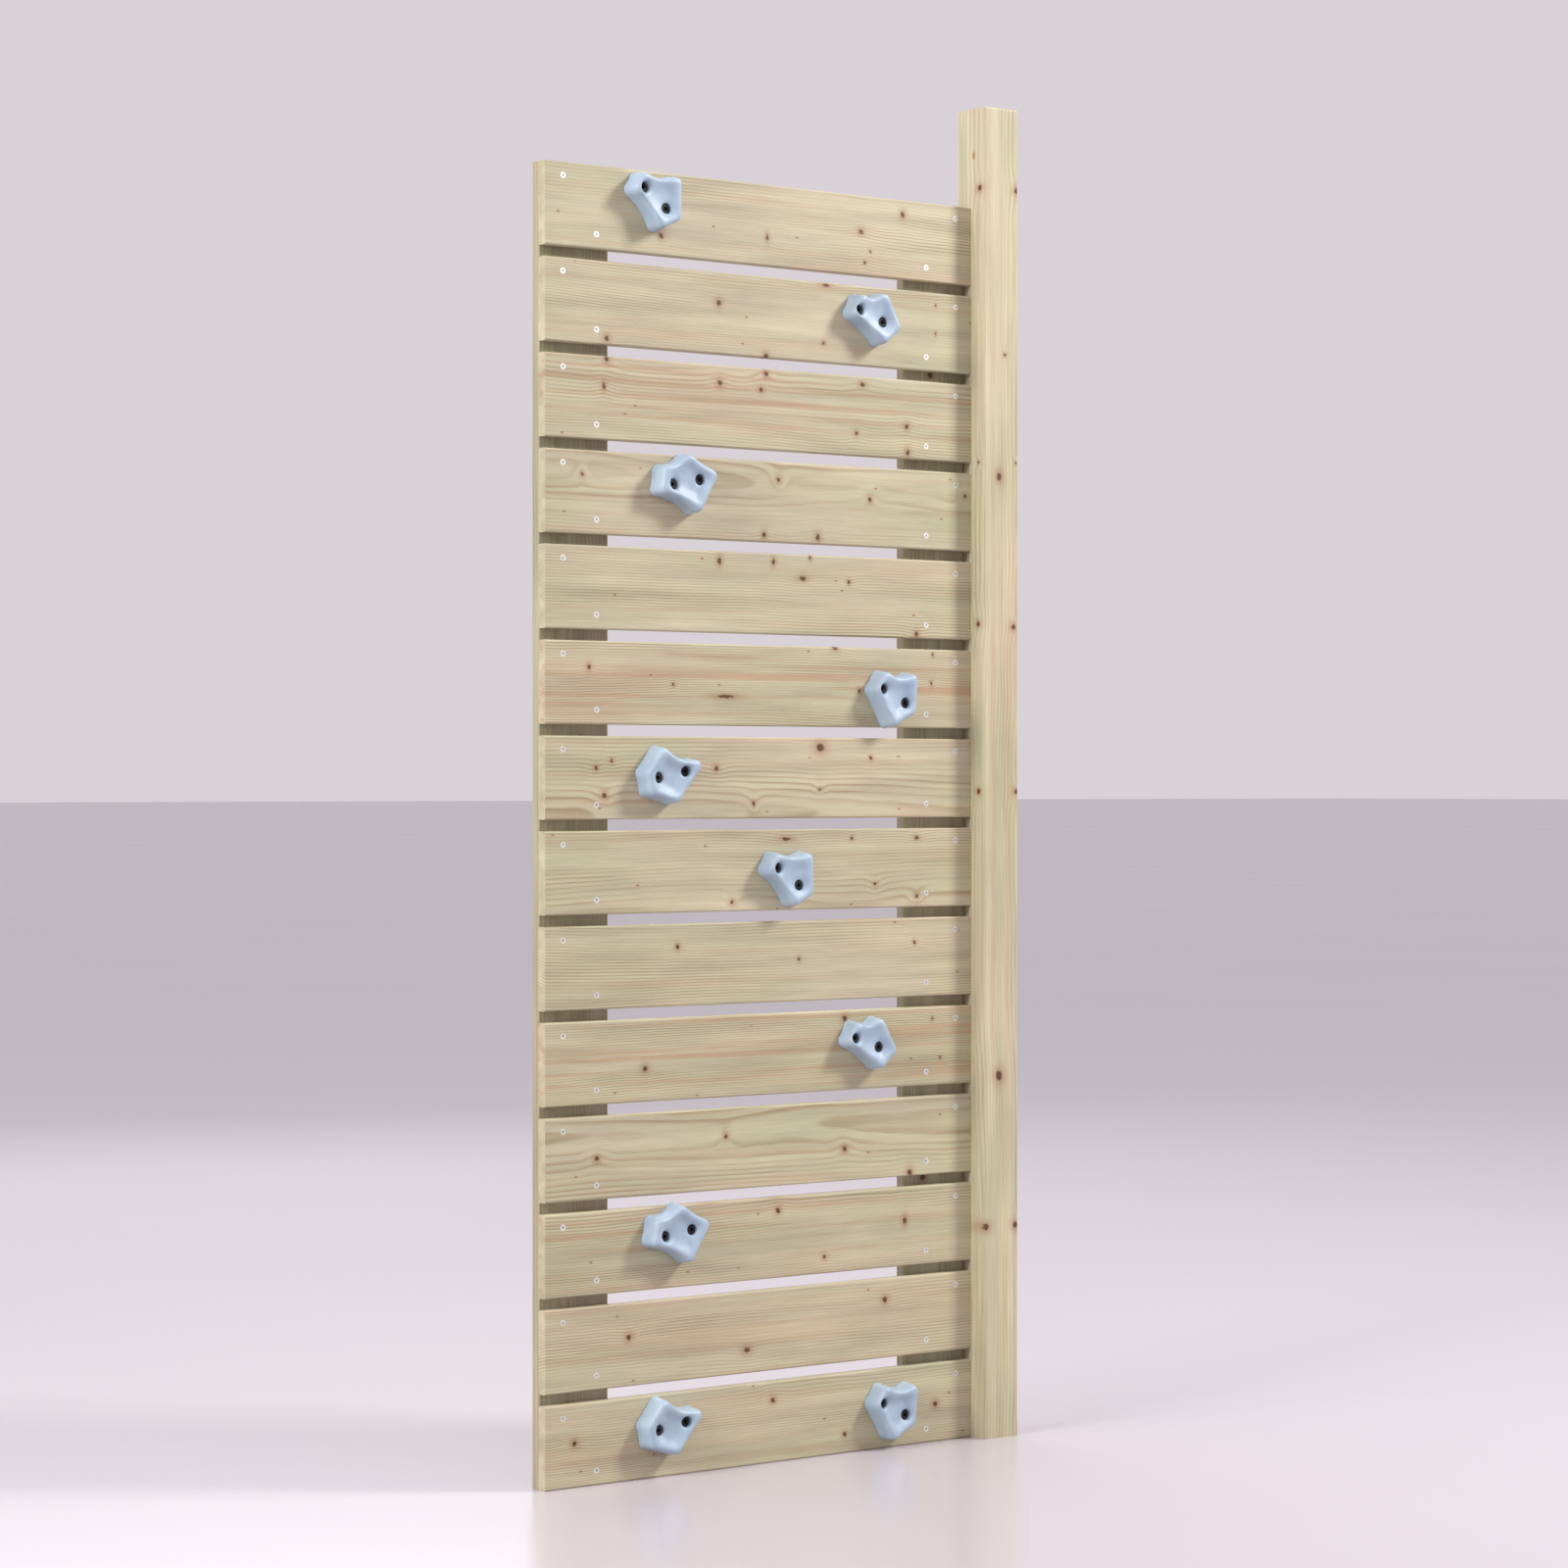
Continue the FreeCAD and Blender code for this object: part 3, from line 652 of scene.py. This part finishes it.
@dataclass
class MouldedHolds:
    """The hand holds: the solid's shape with a star-shaped bowl, softened as a casting is."""

    nodes: Mapping[str, bpy.types.Object]
    finish: HoldPlastic
    voxel: float = 0.0013
    rounds: int = 55
    pull: float = 0.8
    rim: float = 0.0065
    slope: float = 0.020
    bowl: float = 0.0095
    ripple: float = 0.0003
    well: float = 0.0125
    well_wall: float = 0.0098
    weld: float = 1e-5
    side_tilt: float = 0.5
    side_start: float = 0.008
    side_end: float = 0.016
    washer_reach: float = 0.025
    wavelength: float = 0.019

    def build(self) -> None:
        """Make every hold."""
        material = self.finish.make()
        for name in numbered(self.nodes, "hold_"):
            piece = self.remeshed(name)
            self.shape(piece, name)
            dress(piece, material)
            piece.data.shade_smooth()
            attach(piece, ROOT)
            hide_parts(name)
            LOG.info("%s: moulding of %d faces", name, len(piece.data.polygons))

    def remeshed(self, name: str) -> bpy.types.Object:
        """An even quad mesh of a hold's solid.

        Args:
            name: The hold's node.

        Returns:
            The new object, at the origin.
        """
        mesh = self.nodes[name].data.copy()
        piece = bpy.data.objects.new(f"moulded_{name}", mesh)
        bpy.context.scene.collection.objects.link(piece)
        weld = piece.modifiers.new("weld", "WELD")
        weld.merge_threshold = self.weld
        remesh = piece.modifiers.new("remesh", "REMESH")
        remesh.mode = "VOXEL"
        remesh.voxel_size = self.voxel
        evaluated = piece.evaluated_get(bpy.context.evaluated_depsgraph_get())
        result = bpy.data.meshes.new_from_object(evaluated)
        piece.modifiers.clear()
        piece.data = result
        return piece

    def shape(self, piece: bpy.types.Object, name: str) -> None:
        """Hollow the front, relax the mesh, and keep its back flat and all of it inside its solid's box.

        Args:
            piece: The remeshed hold.
            name: The hold's node.
        """
        low, high = (np.array(corner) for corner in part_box(name))
        mesh = piece.data
        points = self.read(mesh.vertices, "co", 3, float)
        normals = self.read(mesh.vertices, "normal", 3, float)
        inset = self.edge_distance(points, normals, low[1], name)
        fixed = (points[:, 1] > high[1] - 2 * self.voxel) | self.in_well(points, low[1], name)
        points[:, 1] = np.where(fixed, points[:, 1], low[1] + self.hollow(points, low[1], inset))
        points[~fixed] += (normals * self.waves(points)[:, None])[~fixed]
        points = self.relax(points, self.read(mesh.edges, "vertices", 2, np.int64), fixed)
        mesh.vertices.foreach_set("co", np.clip(points, low, high).ravel())
        mesh.update()

    @staticmethod
    def read(items: Any, what: str, width: int, kind: type) -> np.ndarray:
        """A property of every item as rows of an array."""
        values = np.empty(len(items) * width, dtype=kind)
        items.foreach_get(what, values)
        return values.reshape(-1, width)

    def edge_distance(self, points: np.ndarray, normals: np.ndarray, front: float, name: str) -> np.ndarray:
        """Distance of every point from the hold's outer side, seen from the front.

        Args:
            points: The mesh's points.
            normals: Their normals.
            front: Where the hold's front lies, along Y.
            name: The hold's node.

        Returns:
            The distances, in metres.
        """
        depth = points[:, 1] - front
        side = (np.abs(normals[:, 1]) < self.side_tilt) & (depth > self.side_start) & (depth < self.side_end)
        for bolt in self.bolts(name):
            side &= np.hypot(points[:, 0] - bolt.x, points[:, 2] - bolt.z) > self.well
        ring = points[side]
        tree = KDTree(len(ring))
        for index, point in enumerate(ring):
            tree.insert((point[0], 0.0, point[2]), index)
        tree.balance()
        return np.array([tree.find((point[0], 0.0, point[2]))[2] for point in points])

    def bolts(self, name: str) -> list[Vector]:
        """Middles of the bolts whose heads lie in a hold."""
        low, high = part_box(name)
        mesh = self.nodes["hold_washers"].data
        spots = [vertex.co.copy() for vertex in mesh.vertices]
        inside = [spot for spot in spots if low.x < spot.x < high.x and low.z < spot.z < high.z]
        groups: tuple[list[Vector], list[Vector]] = ([], [])
        for spot in inside:
            groups[(spot - inside[0]).length >= self.washer_reach].append(spot)
        return [(Vector(map(min, zip(*group))) + Vector(map(max, zip(*group)))) / 2 for group in groups]

    def in_well(self, points: np.ndarray, front: float, name: str) -> np.ndarray:
        """Which points lie in a bolt's well, below the bowl."""
        inside = np.zeros(len(points), dtype=bool)
        for bolt in self.bolts(name):
            inside |= np.hypot(points[:, 0] - bolt.x, points[:, 2] - bolt.z) < self.well_wall
        return inside & (points[:, 1] - front > self.bowl + self.voxel)

    def hollow(self, points: np.ndarray, front: float, inset: np.ndarray) -> np.ndarray:
        """How deep every point lies once the front has a bowl that follows the outline."""
        share = np.clip((inset - self.rim) / (self.slope - self.rim), 0.0, 1.0)
        bowl = self.bowl * share * share * (3.0 - 2.0 * share)
        return np.maximum(points[:, 1] - front, bowl)

    def waves(self, points: np.ndarray) -> np.ndarray:
        """Slow unevenness of a hand-finished mould, in metres."""
        x, y, z = (points * (2 * math.pi / self.wavelength)).T
        slow = np.sin(x + 1.3 * np.sin(z * 0.7)) * np.cos(z * 1.1 + y) + 0.5 * np.sin(1.9 * z - 1.4 * x + y)
        return slow * self.ripple

    def relax(self, points: np.ndarray, edges: np.ndarray, fixed: np.ndarray) -> np.ndarray:
        """Draw each free point towards its neighbours, round after round."""
        first, second = edges.T
        count = np.bincount(edges.ravel(), minlength=len(points))[:, None]
        for _ in range(self.rounds):
            total = np.zeros_like(points)
            np.add.at(total, first, points[second])
            np.add.at(total, second, points[first])
            points = np.where(fixed[:, None], points, points + (total / count - points) * self.pull)
        return points


# --------------------------------------------------------------------------------------------------
# Screws
# --------------------------------------------------------------------------------------------------


class GeometryBench:
    """Builds one geometry node tree that takes a mesh and some sizes and gives a mesh."""

    def __init__(self, name: str, sizes: Sequence[str]) -> None:
        """Start a tree.

        Args:
            name: The tree's name.
            sizes: Names of its number inputs.
        """
        self.tree = bpy.data.node_groups.new(name, "GeometryNodeTree")
        sockets = self.tree.interface
        sockets.new_socket("Geometry", in_out="INPUT", socket_type="NodeSocketGeometry")
        for size in sizes:
            sockets.new_socket(size, in_out="INPUT", socket_type="NodeSocketFloat")
        sockets.new_socket("Geometry", in_out="OUTPUT", socket_type="NodeSocketGeometry")
        self.start = self.tree.nodes.new("NodeGroupInput").outputs
        self.end = self.tree.nodes.new("NodeGroupOutput")

    def feed(self, socket: bpy.types.NodeSocket, value: Any) -> None:
        """Link or set one input socket."""
        if isinstance(value, bpy.types.NodeSocket):
            self.tree.links.new(value, socket)
        else:
            socket.default_value = value

    def add(self, kind: str, settings: Mapping[str, Any] | None = None, **inputs: Any) -> bpy.types.Node:
        """Add a node.

        Args:
            kind: The node's type.
            settings: Its own properties, set before its sockets.
            **inputs: Its inputs by name, with underscores for spaces.

        Returns:
            The node.
        """
        node = self.tree.nodes.new(kind)
        for key, value in (settings or {}).items():
            setattr(node, key, value)
        for key, value in inputs.items():
            self.feed(node.inputs[key.replace("_", " ")], value)
        return node

    def maths(self, operation: str, first: Any, second: Any) -> bpy.types.NodeSocket:
        """Work out one number.

        Args:
            operation: The Math node's operation.
            first: A number or socket.
            second: A number or socket.

        Returns:
            The result.
        """
        node = self.add("ShaderNodeMath", {"operation": operation})
        self.feed(node.inputs[0], first)
        self.feed(node.inputs[1], second)
        return node.outputs[0]

    def shift(self, mesh: bpy.types.NodeSocket, height: bpy.types.NodeSocket) -> bpy.types.NodeSocket:
        """Move a mesh along its own axis."""
        up = self.add("ShaderNodeCombineXYZ", Z=height).outputs[0]
        return self.add("GeometryNodeTransform", Geometry=mesh, Translation=up).outputs[0]


@dataclass
class ScrewSet:
    """Countersunk wood screws with a cross recess, all of one size and facing one way."""

    name: str
    node: str
    places: Sequence[Vector]
    facing: Facing
    head: float
    shank: float
    length: float
    recess: float = 0.0036
    slot: float = 0.0011
    recess_depth: float = 0.0016
    tip_share: float = 0.75
    sides: int = 24
    seed: int = 7

    def sizes(self) -> dict[str, float]:
        """The tree's inputs and their values."""
        return {
            "Head": self.head, "Shank": self.shank, "Length": self.length, "Recess": self.recess,
            "Slot": self.slot, "Recess Depth": self.recess_depth, "Facing": self.facing.value,
        }

    def screw(self, bench: GeometryBench) -> bpy.types.NodeSocket:
        """One screw that looks up, with the face of its head at the origin.

        Args:
            bench: The bench in use.

        Returns:
            The screw's mesh.
        """
        start = bench.start
        head_radius = bench.maths("MULTIPLY", start["Head"], 0.5)
        shank_radius = bench.maths("MULTIPLY", start["Shank"], 0.5)
        head_height = bench.maths("SUBTRACT", head_radius, shank_radius)
        cone = bench.add("GeometryNodeMeshCone", Vertices=self.sides, Radius_Top=head_radius,
                         Radius_Bottom=shank_radius, Depth=head_height).outputs["Mesh"]
        cut = bench.add("GeometryNodeMeshBoolean", {"operation": "DIFFERENCE"},
                        Mesh_1=bench.shift(cone, bench.maths("MULTIPLY", head_height, -1.0)))
        depth = bench.maths("MULTIPLY", start["Recess Depth"], 2.0)
        for across, along in (("Recess", "Slot"), ("Slot", "Recess")):
            size = bench.add("ShaderNodeCombineXYZ", X=start[across], Y=start[along], Z=depth).outputs[0]
            bench.feed(cut.inputs["Mesh 2"], bench.add("GeometryNodeMeshCube", Size=size).outputs["Mesh"])
        tip_radius = bench.maths("MULTIPLY", shank_radius, self.tip_share)
        rod_length = bench.maths("SUBTRACT", start["Length"], head_height)
        rod = bench.add("GeometryNodeMeshCone", Vertices=self.sides // 2, Radius_Top=shank_radius,
                        Radius_Bottom=tip_radius, Depth=rod_length).outputs["Mesh"]
        whole = bench.add("GeometryNodeJoinGeometry")
        bench.feed(whole.inputs[0], cut.outputs[0])
        bench.feed(whole.inputs[0], bench.shift(rod, bench.maths("MULTIPLY", start["Length"], -1.0)))
        return whole.outputs[0]

    def tree(self, material: bpy.types.Material) -> bpy.types.NodeTree:
        """Build the tree that puts a screw at every point.

        Args:
            material: The screws' finish.

        Returns:
            A geometry node tree with named inputs for its sizes.
        """
        bench = GeometryBench(f"{self.name}_tree", list(self.sizes()))
        spin = bench.add("FunctionNodeRandomValue", {"data_type": "FLOAT"}, Seed=self.seed)
        bench.feed(spin.inputs[2], 0.0)
        bench.feed(spin.inputs[3], math.pi / 2)
        turn = bench.add("ShaderNodeCombineXYZ", X=bench.start["Facing"], Y=spin.outputs[1]).outputs[0]
        spread = bench.add("GeometryNodeInstanceOnPoints", Points=bench.start["Geometry"],
                           Instance=self.screw(bench), Rotation=turn).outputs[0]
        real = bench.add("GeometryNodeRealizeInstances", Geometry=spread).outputs[0]
        done = bench.add("GeometryNodeSetMaterial", Geometry=real, Material=material).outputs[0]
        bench.feed(bench.end.inputs[0], done)
        return bench.tree

    def build(self, material: bpy.types.Material) -> bpy.types.Object:
        """Make the screws as one plain mesh that stands for their node.

        Args:
            material: The screws' finish.

        Returns:
            The new piece.
        """
        points = bpy.data.meshes.new(self.name)
        points.from_pydata([tuple(place) for place in self.places], [], [])
        piece = bpy.data.objects.new(self.name, points)
        bpy.context.scene.collection.objects.link(piece)
        modifier = piece.modifiers.new("screws", "NODES")
        modifier.node_group = self.tree(material)
        sizes = self.sizes()
        for item in modifier.node_group.interface.items_tree:
            if item.in_out == "INPUT" and item.name in sizes:
                modifier[item.identifier] = sizes[item.name]
        evaluated = piece.evaluated_get(bpy.context.evaluated_depsgraph_get())
        mesh = bpy.data.meshes.new_from_object(evaluated)
        piece.modifiers.clear()
        piece.data = mesh
        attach(piece, ROOT)
        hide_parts(self.node)
        LOG.info("%s: %d screws", self.name, len(self.places))
        return piece


@dataclass
class Fixings:
    """Everything made of steel: screws, bolts, washers, T-nuts and joining plates."""

    nodes: Mapping[str, bpy.types.Object]
    zinc: Metal
    black: Metal
    galvanised: Metal
    outer_inset: float = 0.032
    outer_drop: float = 0.020
    inner_inset: float = 0.092
    inner_rise: float = 0.022
    sink: float = 0.0002
    clearance: float = 0.0001
    board_screw_head: float = 0.010
    board_screw_shank: float = 0.005
    plate_screw_head: float = 0.008
    plate_screw_shank: float = 0.004
    plate_screw_seed: int = 11
    plate_count: int = 3
    plate_height: float = 0.030
    plate_inner: float = 0.014
    plate_outer: float = 0.009

    def board_screw_places(self) -> list[Vector]:
        """Heads of the four screws in each board."""
        places = []
        for name in numbered(self.nodes, "board_"):
            low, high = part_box(name)
            for inset, height in (
                (self.outer_inset, high.z - self.outer_drop),
                (self.inner_inset, low.z + self.inner_rise),
            ):
                for x in (low.x + inset, high.x - inset):
                    places.append(Vector((x, low.y + self.sink, height)))
        return places

    def plate_screw_places(self) -> list[Vector]:
        """Heads of the four screws in each joining plate."""
        low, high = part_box("joining_plates")
        middle = (low.x + high.x) / 2
        step = (high.z - low.z - self.plate_height) / (self.plate_count - 1)
        offsets = (self.plate_inner, (high.x - low.x) / 2 - self.plate_outer)
        return [
            Vector((middle + side * offset, high.y - self.sink, low.z + self.plate_height / 2 + step * index))
            for index in range(self.plate_count)
            for offset in offsets
            for side in (-1, 1)
        ]

    def build(self) -> None:
        """Make the screws and dress the other fixings."""
        zinc = self.zinc.make()
        low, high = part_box("board_screws")
        ScrewSet(
            "countersunk_board_screws", "board_screws", self.board_screw_places(), Facing.CLIMBER,
            head=self.board_screw_head - self.clearance, shank=self.board_screw_shank - self.clearance,
            length=high.y - low.y - self.sink,
        ).build(zinc)
        low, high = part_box("plate_screws")
        ScrewSet(
            "countersunk_plate_screws", "plate_screws", self.plate_screw_places(), Facing.BACK,
            head=self.plate_screw_head - self.clearance, shank=self.plate_screw_shank - self.clearance,
            length=high.y - low.y - self.sink, seed=self.plate_screw_seed,
        ).build(zinc)
        black = self.black.make()
        for name in ("hold_bolts", "hold_washers"):
            dress(self.nodes[name], black)
        dress(self.nodes["t_nuts"], zinc)
        dress(self.nodes["joining_plates"], self.galvanised.make())
        LOG.info("bolts, washers, T-nuts and joining plates dressed")


# --------------------------------------------------------------------------------------------------
# Studio
# --------------------------------------------------------------------------------------------------


@dataclass(frozen=True)
class Lamp:
    """A soft square lamp: where it hangs, its side in metres, its power in watts and its colour."""

    name: str
    place: Triple
    size: float
    power: float
    colour: Colour


@dataclass
class Studio:
    """Plain pale floor, soft lights and the camera."""

    eye: Triple = (-3.634, -4.856, 1.047)
    lens: float = 90.0
    floor_size: float = 400.0
    sky: Colour = (0.69, 0.64, 0.68)
    sky_light: float = 1.0
    lamps: tuple[Lamp, ...] = (
        Lamp("key_light", (3.5, -2.8, 4.5), 1.2, 310.0, (1.0, 0.99, 0.96)),
        Lamp("side_light", (-7.0, -0.8, 4.4), 3.4, 560.0, (1.0, 0.99, 0.97)),
        Lamp("back_light", (1.5, 5.0, 3.2), 3.0, 90.0, (1.0, 1.0, 1.0)),
    )

    def build(self) -> None:
        """Make the floor, the lights and the camera."""
        self.lay_floor()
        self.light_sky()
        for lamp in self.lamps:
            self.hang(lamp)
        self.set_camera()
        self.set_tones()
        LOG.info("studio: floor, lights and camera")

    def lay_floor(self) -> None:
        """A large square floor at the height that the wall stands on."""
        half = self.floor_size / 2
        mesh = bpy.data.meshes.new("studio_floor")
        corners = [(-half, -half, 0.0), (half, -half, 0.0), (half, half, 0.0), (-half, half, 0.0)]
        mesh.from_pydata(corners, [], [(0, 1, 2, 3)])
        floor = bpy.data.objects.new("studio_floor", mesh)
        bpy.context.scene.collection.objects.link(floor)
        dress(floor, StudioPaint("studio_paint").make())
        floor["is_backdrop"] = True

    def light_sky(self) -> None:
        """An even pale surround."""
        world = bpy.data.worlds.new("studio_world")
        world.use_nodes = True
        background = world.node_tree.nodes["Background"]
        background.inputs["Color"].default_value = (*self.sky, 1.0)
        background.inputs["Strength"].default_value = self.sky_light
        bpy.context.scene.world = world

    @staticmethod
    def set_tones() -> None:
        """Show colours as they are, without a film-like curve."""
        bpy.context.scene.view_settings.view_transform = "Standard"

    def hang(self, lamp: Lamp) -> None:
        """Hang one lamp that looks at the wall's middle.

        Args:
            lamp: The lamp.
        """
        data = bpy.data.lights.new(lamp.name, "AREA")
        data.energy = lamp.power
        data.size = lamp.size
        data.color = lamp.colour
        thing = bpy.data.objects.new(lamp.name, data)
        thing.location = lamp.place
        thing.rotation_euler = (self.middle() - thing.location).to_track_quat("-Z", "Y").to_euler()
        bpy.context.scene.collection.objects.link(thing)

    def set_camera(self) -> None:
        """A level camera at the height of a standing child's eyes, looking at the wall from its left."""
        data = bpy.data.cameras.new("camera")
        data.lens = self.lens
        camera = bpy.data.objects.new("camera", data)
        camera.location = self.eye
        look = self.middle() - camera.location
        look.z = 0.0
        camera.rotation_euler = look.to_track_quat("-Z", "Y").to_euler()
        bpy.context.scene.collection.objects.link(camera)
        bpy.context.scene.camera = camera

    @staticmethod
    def middle() -> Vector:
        """Middle of the wall's box."""
        low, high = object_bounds()
        return (Vector(low) + Vector(high)) / 2


# --------------------------------------------------------------------------------------------------
# The whole object
# --------------------------------------------------------------------------------------------------

BOARD_KNOTS: dict[int, tuple[Knot, ...]] = {
    1: (Knot(0.676, 0.102, 0.0055, 0.8), Knot(0.592, 0.068, 0.004, 1.3), Knot(0.409, 0.044, 0.005, 0.6),
        Knot(0.209, 0.030, 0.005), Knot(0.611, 0.038, 0.002), Knot(0.600, 0.020, 0.0025)),
    2: (Knot(0.317, 0.078, 0.005), Knot(0.110, 0.010, 0.0045), Knot(0.407, 0.003, 0.0045),
        Knot(0.518, 0.030, 0.003), Knot(0.743, 0.060, 0.003, 0.5), Knot(0.743, 0.105, 0.002),
        Knot(0.523, 0.121, 0.003, 2.5)),
    3: (Knot(0.110, 0.121, 0.0045), Knot(0.407, 0.117, 0.0045), Knot(0.105, 0.080, 0.0055, 0.6),
        Knot(0.319, 0.098, 0.0045), Knot(0.397, 0.092, 0.004), Knot(0.595, 0.112, 0.0035, 1.6),
        Knot(0.684, 0.051, 0.0045), Knot(0.583, 0.035, 0.0035), Knot(0.686, 0.010, 0.006, 0.7)),
    4: (Knot(0.431, 0.097, 0.004), Knot(0.610, 0.074, 0.004), Knot(0.803, 0.088, 0.003),
        Knot(0.066, 0.089, 0.003), Knot(0.403, 0.011, 0.005, 0.8), Knot(0.507, 0.011, 0.0055, 0.9)),
    5: (Knot(0.568, 0.085, 0.0035), Knot(0.478, 0.088, 0.004, 1.8), Knot(0.704, 0.007, 0.0045),
        Knot(0.318, 0.110, 0.006, 0.7), Knot(0.421, 0.112, 0.0055, 0.6), Knot(0.492, 0.121, 0.004, 0.6)),
    6: (Knot(0.078, 0.086, 0.0045, 0.8), Knot(0.737, 0.117, 0.003, 0.7), Knot(0.734, 0.071, 0.003, 0.7),
        Knot(0.589, 0.057, 0.004), Knot(0.541, 0.124, 0.004, 1.5), Knot(0.330, 0.045, 0.003, 6.0),
        Knot(0.232, 0.062, 0.0025)),
    7: (Knot(0.512, 0.110, 0.0075, 1.1), Knot(0.612, 0.094, 0.003), Knot(0.312, 0.077, 0.004),
        Knot(0.119, 0.088, 0.003), Knot(0.091, 0.077, 0.0035), Knot(0.106, 0.036, 0.0045),
        Knot(0.511, 0.045, 0.0025), Knot(0.383, 0.023, 0.004, 0.7)),
    8: (Knot(0.574, 0.110, 0.003), Knot(0.704, 0.110, 0.003, 1.6), Knot(0.446, 0.110, 0.003, 3.0),
        Knot(0.620, 0.038, 0.003), Knot(0.342, 0.014, 0.004), Knot(0.704, 0.017, 0.0035)),
    9: (Knot(0.786, 0.104, 0.0025), Knot(0.700, 0.086, 0.003), Knot(0.470, 0.066, 0.003),
        Knot(0.240, 0.090, 0.004)),
    10: (Knot(0.560, 0.112, 0.0055, 0.9), Knot(0.736, 0.106, 0.0025), Knot(0.752, 0.044, 0.0025),
         Knot(0.180, 0.050, 0.005)),
    11: (Knot(0.560, 0.050, 0.0045), Knot(0.690, 0.006, 0.0055), Knot(0.330, 0.082, 0.004),
         Knot(0.092, 0.062, 0.0045)),
    12: (Knot(0.680, 0.072, 0.0065, 0.6), Knot(0.430, 0.104, 0.0045), Knot(0.520, 0.026, 0.0035)),
    13: (Knot(0.150, 0.074, 0.005), Knot(0.370, 0.036, 0.0045, 1.4), Knot(0.640, 0.092, 0.005)),
    14: (Knot(0.052, 0.066, 0.005), Knot(0.420, 0.096, 0.0045), Knot(0.560, 0.030, 0.004),
         Knot(0.742, 0.060, 0.005)),
}

UPRIGHT_KNOTS: dict[str, tuple[Knot, ...]] = {
    "corner_post": (Knot(2.000, 0.000, 0.0055, depth=0.012, reach=0.0055),
                    Knot(2.000, 0.066, 0.0055, reach=0.02), Knot(1.735, 0.042, 0.003, reach=0.02),
                    Knot(1.539, 0.030, 0.0055, 1.4, reach=0.02), Knot(1.299, 0.060, 0.005, reach=0.02),
                    Knot(1.303, 0.000, 0.005, depth=0.016, reach=0.005),
                    Knot(1.035, 0.000, 0.005, depth=0.015, reach=0.005),
                    Knot(1.035, 0.066, 0.005, reach=0.02),
                    Knot(1.562, 0.000, 0.0022, depth=0.015, reach=0.003),
                    Knot(1.562, 0.066, 0.0022, reach=0.02), Knot(0.580, 0.030, 0.0075, 1.3, reach=0.02),
                    Knot(0.339, 0.004, 0.006, reach=0.02), Knot(0.339, 0.064, 0.006, reach=0.02),
                    Knot(1.420, 0.070, 0.007, 1.2, depth=0.040, reach=0.007),
                    Knot(0.820, 0.070, 0.006, 1.4, depth=0.028, reach=0.006),
                    Knot(1.180, 0.045, 0.007, 1.2, depth=0.070, reach=0.02),
                    Knot(0.480, 0.028, 0.006, 1.3, depth=0.070, reach=0.02)),
    "left_back_board": (Knot(0.300, 0.070, 0.006), Knot(0.860, 0.030, 0.006), Knot(1.440, 0.088, 0.007)),
    "right_back_board": (Knot(0.420, 0.040, 0.006), Knot(1.060, 0.090, 0.007), Knot(1.700, 0.055, 0.006)),
}


def main() -> None:
    """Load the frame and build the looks."""
    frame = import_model()
    nodes = frame["nodes"]

    ClimbingBoards(nodes, BOARD_KNOTS).dress()
    Uprights(nodes, UPRIGHT_KNOTS).dress()
    MouldedHolds(nodes, HoldPlastic("hold_plastic")).build()
    Fixings(
        nodes,
        zinc=Metal("bright_zinc", (0.80, 0.79, 0.74), (0.58, 0.58, 0.55), gloss=0.36, metallic=0.7),
        black=Metal("black_oxide", (0.016, 0.016, 0.018), (0.006, 0.006, 0.007), gloss=0.50, metallic=0.2),
        galvanised=Metal("galvanised_plate", (0.66, 0.68, 0.70), (0.42, 0.44, 0.46), gloss=0.32, cells=110.0),
    ).build()
    Studio().build()


if __name__ == "__main__":
    logging.basicConfig(level=logging.INFO, format="%(name)s: %(message)s")
    main()
